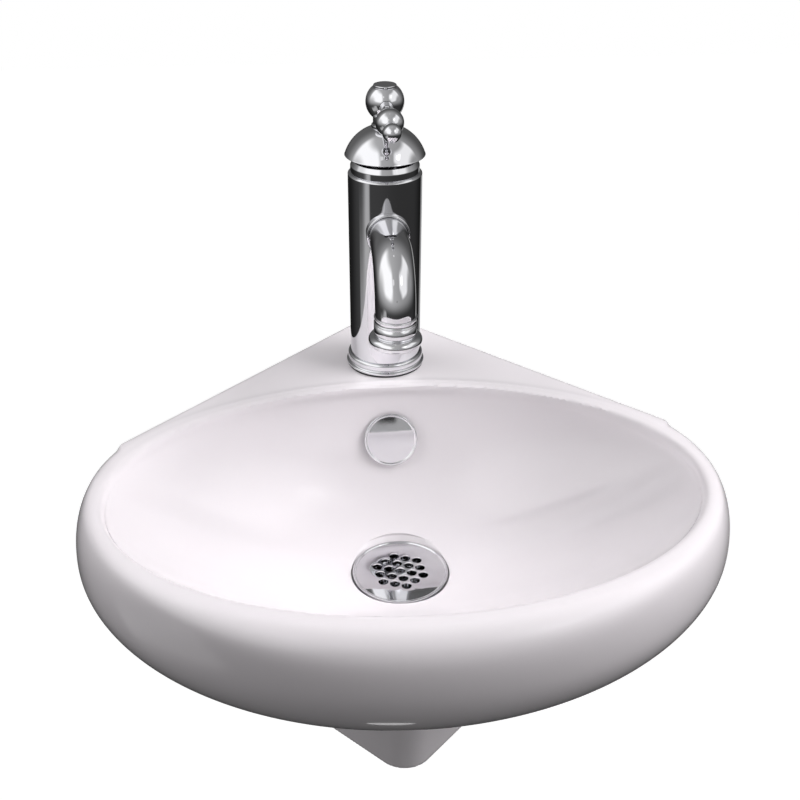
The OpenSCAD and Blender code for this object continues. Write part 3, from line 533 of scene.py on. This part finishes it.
def make_overflow():
    """Plate in front of the overflow's hole, with a gap for the water and a collar in the hole."""
    over = overflow_frame()
    r, gap, thick = 18.75, 2.5, 2.0
    face = gap + thick
    outline = rounded([(0, gap), (9.35, gap), (9.35, -6), (10.85, -6), (10.85, gap), (r, gap), (r, face),
                       (r - 1.3, face), (r - 1.9, face - 0.55), (0, face - 0.3)],
                      [0, 0, 0, 0.2, 0.3, 0.5, 0.6, 0.4, 0.4, 0])
    cover = lathe("overflow_plate", outline, 160, at=over.translation / MM, turn=over)
    return finish_piece(cover, "overflow_cover")


def ringed(r, depth, pitch, low, high):
    """Outline points of a threaded length, from its low end up."""
    out = []
    n = int((high - low) / pitch)
    for i in range(n):
        z = low + i * pitch
        out += [(r - depth, z + 0.08 * pitch), (r, z + 0.42 * pitch)]
        out += [(r, z + 0.58 * pitch), (r - depth, z + 0.92 * pitch)]
    return out


def make_waste():
    """Flange with 19 holes, and its threaded body below."""
    base = -99.5
    r, top, thread_r = 32.25, 3.5, 20.75
    upper = rounded([(0, -0.2), (19.5, 0), (19.5, -1.5), (17.25, -7), (17.25, -42), (16.68, -42), (16.68, -62),
                     (thread_r, -62), (thread_r, 0), (r, 0), (r, top), (r - 1.3, top), (r - 2.2, top - 0.9),
                     (r - 8, top - 0.5), (0, top - 0.3)],
                    [0, 0.4, 0.4, 0.5, 0.2, 0.2, 0.3, 0.4, 0, 0.5, 0.7, 0.5, 0.5, 3, 0])
    thread = np.array(ringed(thread_r, 0.7, 1.8, -60.5, -26) + [(thread_r, -25)])
    k = max(i for i, p in enumerate(upper) if abs(p[0] - thread_r) < 1e-6 and p[1] < -30)
    outline = np.concatenate([upper[:k + 1], thread, upper[k + 1:]])
    body = lathe("waste_grid", outline, 144, at=(0, WASTE_Y, base))
    spacing, row_turn = 8.0, math.radians(-20)
    c, s = math.cos(row_turn), math.sin(row_turn)
    for row in range(-2, 3):
        count = 5 - abs(row)
        for i in range(count):
            x, y = (i - (count - 1) / 2) * spacing, row * spacing * math.sin(math.radians(60))
            hole = turned("grid_hole", [(0, -9), (3.05, -9), (3.05, top - 1.1), (3.5, top - 0.2), (3.9, top + 1),
                                        (0, top + 1)], [0, 0, 0.5, 0, 0, 0], segments=36,
                          at=(x * c - y * s, WASTE_Y + x * s + y * c, base))
            boolean(body, hole)
    return finish_piece(sharpen(body, 34), "waste_body")


def make_below():
    """Tailpiece, and the tapered gasket and slip washer below the porcelain."""
    at, bore, z = (0, WASTE_Y, 0), 20.9, -125.0
    tail = turned("tail_tube", [(14.375, -231.5), (15.875, -231.5), (15.875, -163.5), (16.6, -163.5), (16.6, -141.5),
                                (14.375, -141.5)], [0.4, 0.4, 0.1, 0.3, 0.4, 0.4], at=at)
    finish_piece(tail, "tailpiece")
    cone = turned("cone_washer", [(bore, z - 6), (27, z - 6), (31, z - 1.5), (31, z), (bore, z)],
                  [0.3, 0.8, 0.6, 0.4, 0.3], at=at)
    finish_piece(cone, "cone_gasket")
    slip = turned("slip_ring", [(bore, z - 7.5), (28, z - 7.5), (28, z - 6), (bore, z - 6)], 0.25, at=at)
    finish_piece(slip, "slip_washer")


def hexagon_nut(name, node, flats, bore, low, high, at):
    """Hexagonal nut whose corners are turned off at both faces."""
    corner = flats / 2 / math.cos(math.radians(30))
    nut = turned(name, [(bore, low), (flats / 2, low), (corner + 0.05, low + 0.12 * (corner - bore)),
                        (corner + 0.05, high - 0.12 * (corner - bore)), (flats / 2, high), (bore, high)],
                 [0.3, 0, 0, 0, 0, 0.3], segments=96, at=at)
    across = flats / math.sqrt(3)
    angles = [math.radians(60 * i) for i in range(6)]
    verts = [(across * math.cos(a), across * math.sin(a), z) for z in (low - 1, high + 1) for a in angles]
    faces = [tuple(range(5, -1, -1)), tuple(range(6, 12))]
    faces += [(i, (i + 1) % 6, (i + 1) % 6 + 6, i + 6) for i in range(6)]
    boolean(nut, add_mesh("prism", np.array(verts) + np.array(at), faces, smooth=False), "INTERSECT")
    return finish_piece(sharpen(nut, 25), node)


# ---- Tap ----

TAP = (0, TAP_Y, 0)
BARREL_R, BARREL_TOP = 24.75, 142.0
SPOUT_Z = 107.0
FORWARD = Matrix.Rotation(math.radians(90), 4, "X")      # turns a piece's axis from up to the front


def make_body():
    """Hollow barrel, open below, with a seat for the cartridge on top, the spout's socket and two feed holes."""
    r, h = BARREL_R, BARREL_TOP
    outline = rounded([(0, 122), (17.65, 122), (17.65, 136), (20.45, 136), (20.45, h), (r - 0.9, h), (r, h - 1.0),
                       (r, 1.5), (20.75, 1.5), (20.75, 85.5), (0, 85.5)][::-1],
                      [0, 0.5, 0.3, 0.3, 0.7, 0.5, 0.3, 0.2, 0.2, 0.2, 0])
    body = lathe("tap_barrel", outline, 192, at=TAP)
    boolean(body, turned("spout_socket", [(0, 0), (10.15, 0), (10.15, 30), (0, 30)], 0, segments=64,
                         at=(0, TAP_Y - r + 14, SPOUT_Z), turn=FORWARD))
    for side in (-1, 1):
        boolean(body, turned("feed_hole", [(0, 84), (3, 84), (3, 124), (0, 124)], 0, segments=48,
                             at=(side * 7.5, TAP_Y + 5, 0)))
    return finish_piece(sharpen(body, 40), "tap_body")


def make_foot():
    """Ring with a small lip and a rounded bead, and the seal below it."""
    bore, r, h = 24.9, 27.75, 8.0
    bead = (h - 2.2) / 2
    outline = [(bore, 0.15), (bore + 0.2, 0), (r - 0.4, 0), (r - 0.1, 0.15), (r, 0.5), (r, 1.0), (r - 0.15, 1.35),
               (r - 0.5, 1.6), (r - 1.0, 1.9)]
    outline += arc(bore + 0.3, 2.2 + bead, r - 1.2 - bore, bead, -72, 90, 22)
    finish_piece(lathe("tap_foot_ring", outline, 160, at=(0, TAP_Y, 1.5)), "foot_ring")
    seal = turned("tap_foot_seal", [(20.75, 0), (27.25, 0), (27.25, 1.5), (20.75, 1.5)], [0.1, 0.3, 0.1, 0.1], at=TAP)
    finish_piece(seal, "foot_seal")


def trim_to_barrel(obj, radius):
    """Cuts away what lies within that radius of the barrel's axis, around the spout's height."""
    boolean(obj, turned("barrel", [(0, 80), (radius, 80), (radius, 134), (0, 134)], 0, segments=192, at=TAP))


def make_spout():
    """Bent tube whose root is trimmed to the barrel."""
    r, level, bend, start = 13.0, 50.0, 30.0, 14
    path = [(-y, 0, -1, 0) for y in np.linspace(start, level, 14)]      # y, z, and the direction in y and z
    for a in np.linspace(0, 90, 37)[1:]:
        c, s = math.cos(math.radians(a)), math.sin(math.radians(a))
        path.append((-level - bend * s, -bend + bend * c, -c, -s))
    path.append((-REACH, -bend - 1.5, 0, -1))
    n = 112
    verts = []
    for y, z, ty, tz in path:
        for k in range(n):
            a = 2 * math.pi * k / n
            verts.append((r * math.cos(a), y - r * math.sin(a) * tz, z + r * math.sin(a) * ty))
    faces = []
    for i in range(len(path) - 1):
        for k in range(n):
            m = (k + 1) % n
            faces.append((i * n + k, i * n + m, (i + 1) * n + m, (i + 1) * n + k))
    faces.append(tuple(range(n - 1, -1, -1)))
    faces.append(tuple(range((len(path) - 1) * n, len(path) * n)))
    tube = add_mesh("spout_tube", np.array(verts) + np.array((0, TAP_Y, SPOUT_Z)), faces)
    bm = bmesh.new()
    bm.from_mesh(tube.data)
    bmesh.ops.recalc_face_normals(bm, faces=bm.faces)
    bm.to_mesh(tube.data)
    bm.free()
    trim_to_barrel(tube, 24.9)
    return finish_piece(sharpen(tube, 40), "spout")


def make_root_ring():
    """Ring around the spout where it leaves the barrel."""
    bore, r, out = 13.15, 14.5, BARREL_R + 3.5
    ring = turned("spout_root_ring", [(bore, 8), (r, 8), (r, out), (bore, out)], [0, 0, 1.1, 0.5],
                  at=(0, TAP_Y, SPOUT_Z), turn=FORWARD)
    trim_to_barrel(ring, 24.85)
    return finish_piece(sharpen(ring, 40), "root_ring")


def make_outlet():
    """Neck with two thin beads, and the rounded ring that holds the aerator."""
    r, bore, h = 13.75, 9.0, 13.0
    outline = [(bore, 0.2), (bore + 0.2, 0), (r - 0.2, 0), (r, 0.2), (r, h - 5.7), (r - 0.35, h - 5.5)]
    outline += arc(r - 0.5, h - 4.8, 0.5, 0.65, -75, 75, 12) + [(r - 0.5, h - 4.05), (r - 0.5, h - 1.6)]
    outline += arc(r - 0.5, h - 0.9, 0.5, 0.6, -75, 60, 12) + [(r - 0.8, h - 0.1), (r - 1.1, h), (bore, h)]
    finish_piece(lathe("outlet_sleeve", outline, 144, at=(0, TAP_Y - REACH, 62.5)), "outlet_neck")
    bore, core, r, h = 11.0, 12.95, 17.25, 8.0
    outline = [(bore, 0.4), (bore + 0.4, 0)] + arc(core, h / 2, r - core, h / 2, -90, 90, 32)
    outline += [(9.2, h), (9.0, h - 0.2), (9.0, h - 1), (bore, h - 1)]
    finish_piece(lathe("outlet_bulge", outline, 144, at=(0, TAP_Y - REACH, 54.5)), "outlet_ring")


def make_collar():
    """Tapered collar on the barrel, below the dome."""
    r, top, bore = 23.0, 9.0, 20.45
    outline = rounded([(bore, 0), (r, 0), (r, top - 4.4), (r - 1.5, top - 1.2), (r - 2.6, top), (15, top),
                       (15, top - 3), (bore, top - 3)], [0.2, 0.3, 1.5, 1.0, 0.6, 0.4, 0.2, 0.2])
    finish_piece(lathe("tap_collar", outline, 160, at=(0, TAP_Y, BARREL_TOP)), "collar")


# ---- Handle ----

DOME_Z, DOME_R, DOME_H = 153.5, 26.7, 19.5
SPHERE_R = (DOME_R * DOME_R + DOME_H * DOME_H) / (2 * DOME_H)       # the sphere that the dome is part of
SPHERE_Z = DOME_Z + DOME_H - SPHERE_R
HUB_R, HUB_Z, HUB_FLAT, HUB_NECK, HUB_FOOT = 12.5, 188.0, 9.4, 7.8, 8.9
FOOT_Z = SPHERE_Z + math.sqrt(SPHERE_R * SPHERE_R - HUB_FOOT * HUB_FOOT)
HUB_AT = (0, TAP_Y, HUB_Z)
LEVER_TURN = Matrix.Rotation(math.radians(95), 4, "X")      # to the front, and 5 degrees up


def make_dome():
    """Thin dome with the hub's seat on top and a socket for the stem below it."""
    inner, socket = SPHERE_R - 1.4, 7.5
    rim, top = (math.degrees(math.asin((z - SPHERE_Z) / SPHERE_R)) for z in (DOME_Z, FOOT_Z))
    inner_rim = math.degrees(math.asin((DOME_Z - SPHERE_Z) / inner))
    inner_top = math.degrees(math.acos(socket / inner))
    outline = [(DOME_R - 0.45, DOME_Z), (DOME_R - 0.15, DOME_Z + 0.05), (DOME_R, DOME_Z + 0.2)]
    outline += arc(0, SPHERE_Z, SPHERE_R, SPHERE_R, rim + 0.7, top, 40)
    outline += [(0, FOOT_Z), (0, 171), (4.1, 171), (4.1, 161), (socket, 161)]
    outline += arc(0, SPHERE_Z, inner, inner, inner_top, inner_rim, 30)
    finish_piece(lathe("tap_dome", outline, 176, at=TAP), "dome")


def make_hub():
    """Ball on a foot, with a seat for the lever in its front and a cap on its flat top."""
    rise = HUB_Z - FOOT_Z
    neck = rise - math.sqrt(HUB_R * HUB_R - HUB_NECK * HUB_NECK)
    low, high = -math.degrees(math.acos(HUB_NECK / HUB_R)), math.degrees(math.asin(HUB_FLAT / HUB_R)) - 1
    foot = rounded([(0, -4), (3, -4), (3, 0), (HUB_FOOT, 0), (HUB_FOOT, 2), (HUB_NECK, 2), (HUB_NECK, neck)],
                   [0, 0.2, 0.1, 0.3, 0.6, 0.4, 0])
    outline = [tuple(p) for p in foot] + arc(0, rise, HUB_R, HUB_R, low, high, 48)
    outline += [(math.sqrt(HUB_R * HUB_R - HUB_FLAT * HUB_FLAT) - 0.35, rise + HUB_FLAT), (0, rise + HUB_FLAT)]
    hub = lathe("lever_ball", outline, 144, at=(0, TAP_Y, FOOT_Z))
    boolean(hub, turned("lever_seat", [(0, 4), (4.55, 4), (4.55, 30), (0, 30)], 0, segments=64,
                        at=HUB_AT, turn=LEVER_TURN))
    finish_piece(sharpen(hub, 40), "hub")
    cap = turned("lever_ball_cap", [(0, 0), (7.5, 0), (7.5, 1.6), (0, 1.45)], [0, 0.3, 0.55, 0],
                 at=(0, TAP_Y, HUB_Z + HUB_FLAT))
    finish_piece(cap, "hub_cap")


def make_lever():
    """Rod, knob and tip in one line out of the hub. The knob's two flats meet the rod's shoulder and the tip."""
    reach, knob, root, bore = 36.5, 8.9, 4.4, 2.65
    flat = knob - 0.7
    near, far = reach - flat, reach + flat      # the knob's flats, along the rod
    seat = math.sqrt(HUB_R * HUB_R - root * root) - 0.4
    rod = rounded([(0, seat - 7), (3, seat - 7), (3, seat), (root, seat), (4.25, seat + 4.5), (3.5, near),
                   (2.5, near), (2.5, far + 5.5), (0, far + 5.5)], [0, 0, 0.1, 0.35, 2.5, 0.3, 0.1, 0, 0])
    finish_piece(lathe("lever_rod_turned", rod, 96, at=HUB_AT, turn=LEVER_TURN), "lever_rod")

    flat_r = math.sqrt(knob * knob - flat * flat)
    a = math.degrees(math.asin(flat / knob)) - 1.5
    outline = [(bore, -flat), (flat_r - 0.3, -flat)] + arc(0, 0, knob, knob, -a, a, 56)
    outline += [(flat_r - 0.3, flat), (bore, flat)]
    knob_at = np.array(HUB_AT, float) + np.array(LEVER_TURN.to_3x3() @ Vector((0, 0, reach)))
    finish_piece(lathe("lever_knob_ball", outline, 128, at=knob_at, turn=LEVER_TURN), "lever_knob")

    tip_z, tip_r, neck_r = 16.5, 6.0, 3.5
    neck_top = tip_z - math.sqrt(tip_r ** 2 - neck_r ** 2) - 0.15
    outline = [(bore, flat), (neck_r - 0.2, flat), (neck_r, flat + 0.25), (neck_r, neck_top)]
    outline += arc(0, tip_z, tip_r, tip_r, -math.degrees(math.acos(neck_r / tip_r)) + 2, 90, 40)
    outline += [(0, flat + 5.65), (bore, flat + 5.65)]
    finish_piece(lathe("lever_tip_ball", outline, 112, at=knob_at, turn=LEVER_TURN), "lever_tip")


# ---- Pieces whose CAD shape is right keep it, with a finished material ----

def dress_nodes(names):
    """Gives the nodes their slot's material."""
    for name in names:
        obj = NODES[name]
        obj.data.materials.clear()
        obj.data.materials.append(MATERIALS[SLOT_OF[name]])


# ---- Light, backdrop and camera ----

def seen(nt):
    """1 for camera, glossy and transmission rays, and 0 for the rays that light the object."""
    path = nt.nodes.new("ShaderNodeLightPath")
    fac = path.outputs["Is Camera Ray"]
    for name in ("Is Glossy Ray", "Is Transmission Ray"):
        both = nt.nodes.new("ShaderNodeMath")
        both.operation = "MAXIMUM"
        nt.links.new(fac, both.inputs[0])
        nt.links.new(path.outputs[name], both.inputs[1])
        fac = both.outputs["Value"]
    return fac


def make_world():
    """White where it is seen. Its light is weak and soft, and a little stronger from below."""
    world = bpy.data.worlds.new("studio")
    SCENE.world = world
    world.use_nodes = True
    nt = world.node_tree
    nt.nodes.clear()
    out = nt.nodes.new("ShaderNodeOutputWorld")
    coord = nt.nodes.new("ShaderNodeTexCoord")
    split = nt.nodes.new("ShaderNodeSeparateXYZ")
    nt.links.new(coord.outputs["Generated"], split.inputs["Vector"])
    height = nt.nodes.new("ShaderNodeMapRange")
    height.inputs["From Min"].default_value, height.inputs["From Max"].default_value = -0.15, 0.1
    height.inputs["To Min"].default_value, height.inputs["To Max"].default_value = 0.18, 0.15
    nt.links.new(split.outputs["Z"], height.inputs["Value"])
    soft, white = nt.nodes.new("ShaderNodeBackground"), nt.nodes.new("ShaderNodeBackground")
    soft.inputs["Color"].default_value = (1, 0.985, 1, 1)
    nt.links.new(height.outputs["Result"], soft.inputs["Strength"])
    white.inputs["Color"].default_value = (1, 1, 1, 1)
    white.inputs["Strength"].default_value = 1.0
    mix = nt.nodes.new("ShaderNodeMixShader")
    nt.links.new(seen(nt), mix.inputs["Fac"])
    nt.links.new(soft.outputs["Background"], mix.inputs[1])
    nt.links.new(white.outputs["Background"], mix.inputs[2])
    nt.links.new(mix.outputs["Shader"], out.inputs["Surface"])


LAMPS = [
    # name, place, target, size (m), power (W), colour
    ("key", (1.2, -0.45, 0.9), (0.02, -0.2, 0), (1.0, 0.8), 17.2, (1, 0.975, 0.995)),
    ("above", (0.7, -0.2, 1.4), (0, -0.2, 0), (0.9, 0.9), 3.8, (1, 0.985, 1)),
    ("back_right", (0.95, 0.4, 1.0), (0, -0.2, 0), (0.8, 0.7), 3.5, (1, 0.985, 1)),
    ("back_left", (-0.8, 0.3, 1.1), (0, -0.2, 0), (0.7, 0.7), 6.0, (1, 0.98, 1)),
    ("side", (-1.2, -0.3, 0.7), (0, -0.2, 0), (0.7, 0.9), 5.2, (1, 0.98, 1)),
    ("front", (0.8, -1.4, 0.4), (0, -0.2, 0), (0.6, 0.6), 1.2, (1, 0.98, 1)),
]


def make_lamps():
    """The lamps light the object, but it reflects the soft windows of the tent in their places."""
    for name, at, target, size, power, color in LAMPS:
        data = bpy.data.lights.new(name, "AREA")
        data.shape = "RECTANGLE"
        data.size, data.size_y = size
        data.energy, data.color = power, color
        obj = bpy.data.objects.new(name, data)
        obj.location = at
        obj.rotation_euler = (Vector(target) - Vector(at)).to_track_quat("-Z", "Y").to_euler()
        obj.visible_glossy = False
        SCENE.collection.objects.link(obj)


def make_floor():
    """Pale floor, far below a basin that hangs on a wall. Its own light makes it white where it is seen."""
    half, z = 9000, -2000
    corners = [(-half, -half, z), (half, -half, z), (half, half, z), (-half, half, z)]
    floor = add_mesh("floor", corners, [(0, 1, 2, 3)], smooth=False)
    mat = bpy.data.materials.new("pale_floor")
    mat.use_nodes = True
    nt = mat.node_tree
    bsdf = nt.nodes["Principled BSDF"]
    bsdf.inputs["Base Color"].default_value = (0.3, 0.3, 0.3, 1)
    bsdf.inputs["Roughness"].default_value = 0.9
    glow, add, mix = (nt.nodes.new("ShaderNode" + kind) for kind in ("Emission", "AddShader", "MixShader"))
    glow.inputs["Strength"].default_value = 0.93
    nt.links.new(bsdf.outputs["BSDF"], add.inputs[0])
    nt.links.new(glow.outputs["Emission"], add.inputs[1])
    nt.links.new(seen(nt), mix.inputs["Fac"])
    nt.links.new(bsdf.outputs["BSDF"], mix.inputs[1])
    nt.links.new(add.outputs["Shader"], mix.inputs[2])
    nt.links.new(mix.outputs["Shader"], nt.nodes["Material Output"].inputs["Surface"])
    floor.data.materials.append(mat)


# The tent around the object, in metres from its middle
TENT_AT, TENT_R, TENT_FLOOR = (0, -0.2, 0), 3.0, -1.9
TENT_LEVELS = [
    # axis, low and high place, strength at the low place and at the high one (the second and third are factors)
    ("Z", -0.9, 0.5, 0.045, 0.45),
    ("X", -2.4, 2.4, 1.15, 0.75),
    ("Y", 0.2, 2.4, 1.0, 0.25),
]
WINDOWS = [
    # x, y and z on the tent (low and high of each), width of the soft edge, strength
    ((-2.8, -0.9, -2.7, 0.9, 0.5, 2.6), 0.3, 1.2),
    ((1.0, 2.7, -2.4, 0.5, 0.6, 2.4), 0.2, 1.0),
    ((1.3, 1.75, -2.0, -1.2, 1.6, 2.1), 0.08, 2.0),
    ((-0.8, -0.4, -2.3, -1.6, 1.7, 2.2), 0.05, 0.85),
    ((-2.75, -1.9, -1.6, 0.2, -1.85, -0.6), 0.15, 0.45),
    ((0.3, 1.7, 1.7, 3.1, -1.8, -0.6), 0.2, 0.35),
    ((0.13, 0.27, -3.2, -2.5, 0.47, 0.62), 0.02, 0.04),
]


def glossy_only(obj, mat):
    """Stage piece that only reflections see."""
    obj.data.materials.append(mat)
    for kind in ("camera", "diffuse", "shadow", "transmission", "volume_scatter"):
        setattr(obj, "visible_" + kind, False)


def glow_material(name):
    """Emission with its node tree, its strength socket, and the coordinates of the piece it is on."""
    mat = bpy.data.materials.new(name)
    mat.use_nodes = True
    nt = mat.node_tree
    nt.nodes.remove(nt.nodes["Principled BSDF"])
    glow = nt.nodes.new("ShaderNodeEmission")
    nt.links.new(glow.outputs["Emission"], nt.nodes["Material Output"].inputs["Surface"])
    split = nt.nodes.new("ShaderNodeSeparateXYZ")
    nt.links.new(nt.nodes.new("ShaderNodeTexCoord").outputs["Object"], split.inputs["Vector"])
    return mat, nt, glow.inputs["Strength"], split.outputs


def ramp(nt, value, low, high, at_low, at_high):
    """Smooth change from at_low to at_high while the value goes from low to high."""
    node = nt.nodes.new("ShaderNodeMapRange")
    node.interpolation_type = "SMOOTHSTEP"
    node.inputs["From Min"].default_value, node.inputs["From Max"].default_value = low, high
    node.inputs["To Min"].default_value, node.inputs["To Max"].default_value = at_low, at_high
    nt.links.new(value, node.inputs["Value"])
    return node.outputs["Result"]


def product(nt, a, b):
    """Two values multiplied."""
    node = nt.nodes.new("ShaderNodeMath")
    node.operation = "MULTIPLY"
    nt.links.new(a, node.inputs[0])
    nt.links.new(b, node.inputs[1])
    return node.outputs["Value"]


def make_tent():
    """The studio as the chrome reflects it: dark below the horizon, grey cloth above it, and soft windows."""
    segments = 96
    profile = [math.radians(a) for a in range(-88, 92, 4)]
    verts = []
    for up in profile:
        across, z = TENT_R * math.cos(up), max(TENT_R * math.sin(up), TENT_FLOOR)
        for k in range(segments):
            turn = 2 * math.pi * k / segments
            verts.append((across * math.sin(turn), -across * math.cos(turn), z))
    faces = []
    for i in range(len(profile) - 1):
        for k in range(segments):
            m = (k + 1) % segments
            faces.append((i * segments + k, i * segments + m, (i + 1) * segments + m, (i + 1) * segments + k))
    tent = add_mesh("tent", np.array(verts) / MM, faces)
    tent.location = TENT_AT
    mat, nt, strength, axis = glow_material("tent_cloth")
    level = None
    for part, *span in TENT_LEVELS:
        factor = ramp(nt, axis[part], *span)
        level = factor if level is None else product(nt, level, factor)
    for ranges, edge, power in WINDOWS:
        inside = None
        for part, low, high in zip("XYZ", ranges[0::2], ranges[1::2]):
            for place, before, after in ((low, 0, 1), (high, 1, 0)):
                side = ramp(nt, axis[part], place - edge, place + edge, before, after)
                inside = side if inside is None else product(nt, inside, side)
        blend = nt.nodes.new("ShaderNodeMix")
        nt.links.new(inside, blend.inputs["Factor"])
        nt.links.new(level, blend.inputs["A"])
        blend.inputs["B"].default_value = power
        level = blend.outputs["Result"]
    nt.links.new(level, strength)
    glossy_only(tent, mat)


def make_camera():
    """Camera at the photo's viewpoint, with its picture's centre shifted to match."""
    frame_px, focal_px, centre_px = 800.0, 1100.0, 388.0
    pitch, yaw = math.radians(30.713), math.radians(4.844)
    place = Vector((-57.352, -781.335, 383.11)) * MM
    data = bpy.data.cameras.new("camera")
    data.sensor_width = 36.0
    data.lens = focal_px / frame_px * data.sensor_width
    data.shift_x = (frame_px / 2 - centre_px) / frame_px
    data.clip_start, data.clip_end = 0.01, 50
    cam = bpy.data.objects.new("camera", data)
    ahead = Vector((math.sin(yaw) * math.cos(pitch), math.cos(yaw) * math.cos(pitch), -math.sin(pitch)))
    right = Vector((math.cos(yaw), -math.sin(yaw), 0))
    turn = Matrix((right, right.cross(ahead), -ahead)).transposed().to_4x4()
    cam.matrix_world = Matrix.Translation(place) @ turn
    SCENE.collection.objects.link(cam)
    SCENE.camera = cam


SCENE.view_settings.view_transform = "Standard"
make_camera()
make_world()
make_floor()
make_tent()
make_lamps()

make_basin()
make_overflow()
make_waste()
make_below()
hexagon_nut("waste_nut", "locknut", 54, 20.9, -141.5, -132.5, (0, WASTE_Y, 0))
make_body()
make_foot()
make_spout()
make_root_ring()
make_outlet()
make_collar()
make_dome()
make_hub()
make_lever()
hexagon_nut("stud_nut", "fixing_nut", 13, 4.05, -28.5, -22, (0, TAP_Y - 12, 0))
dress_nodes(["inlet_block", "waste_gasket", "aerator", "aerator_washer", "cartridge", "cartridge_nut", "rotor",
             "stem_pin", "stem", "grub_screw", "stud", "fixing_gasket", "fixing_washer"])

bpy.context.view_layer.update()
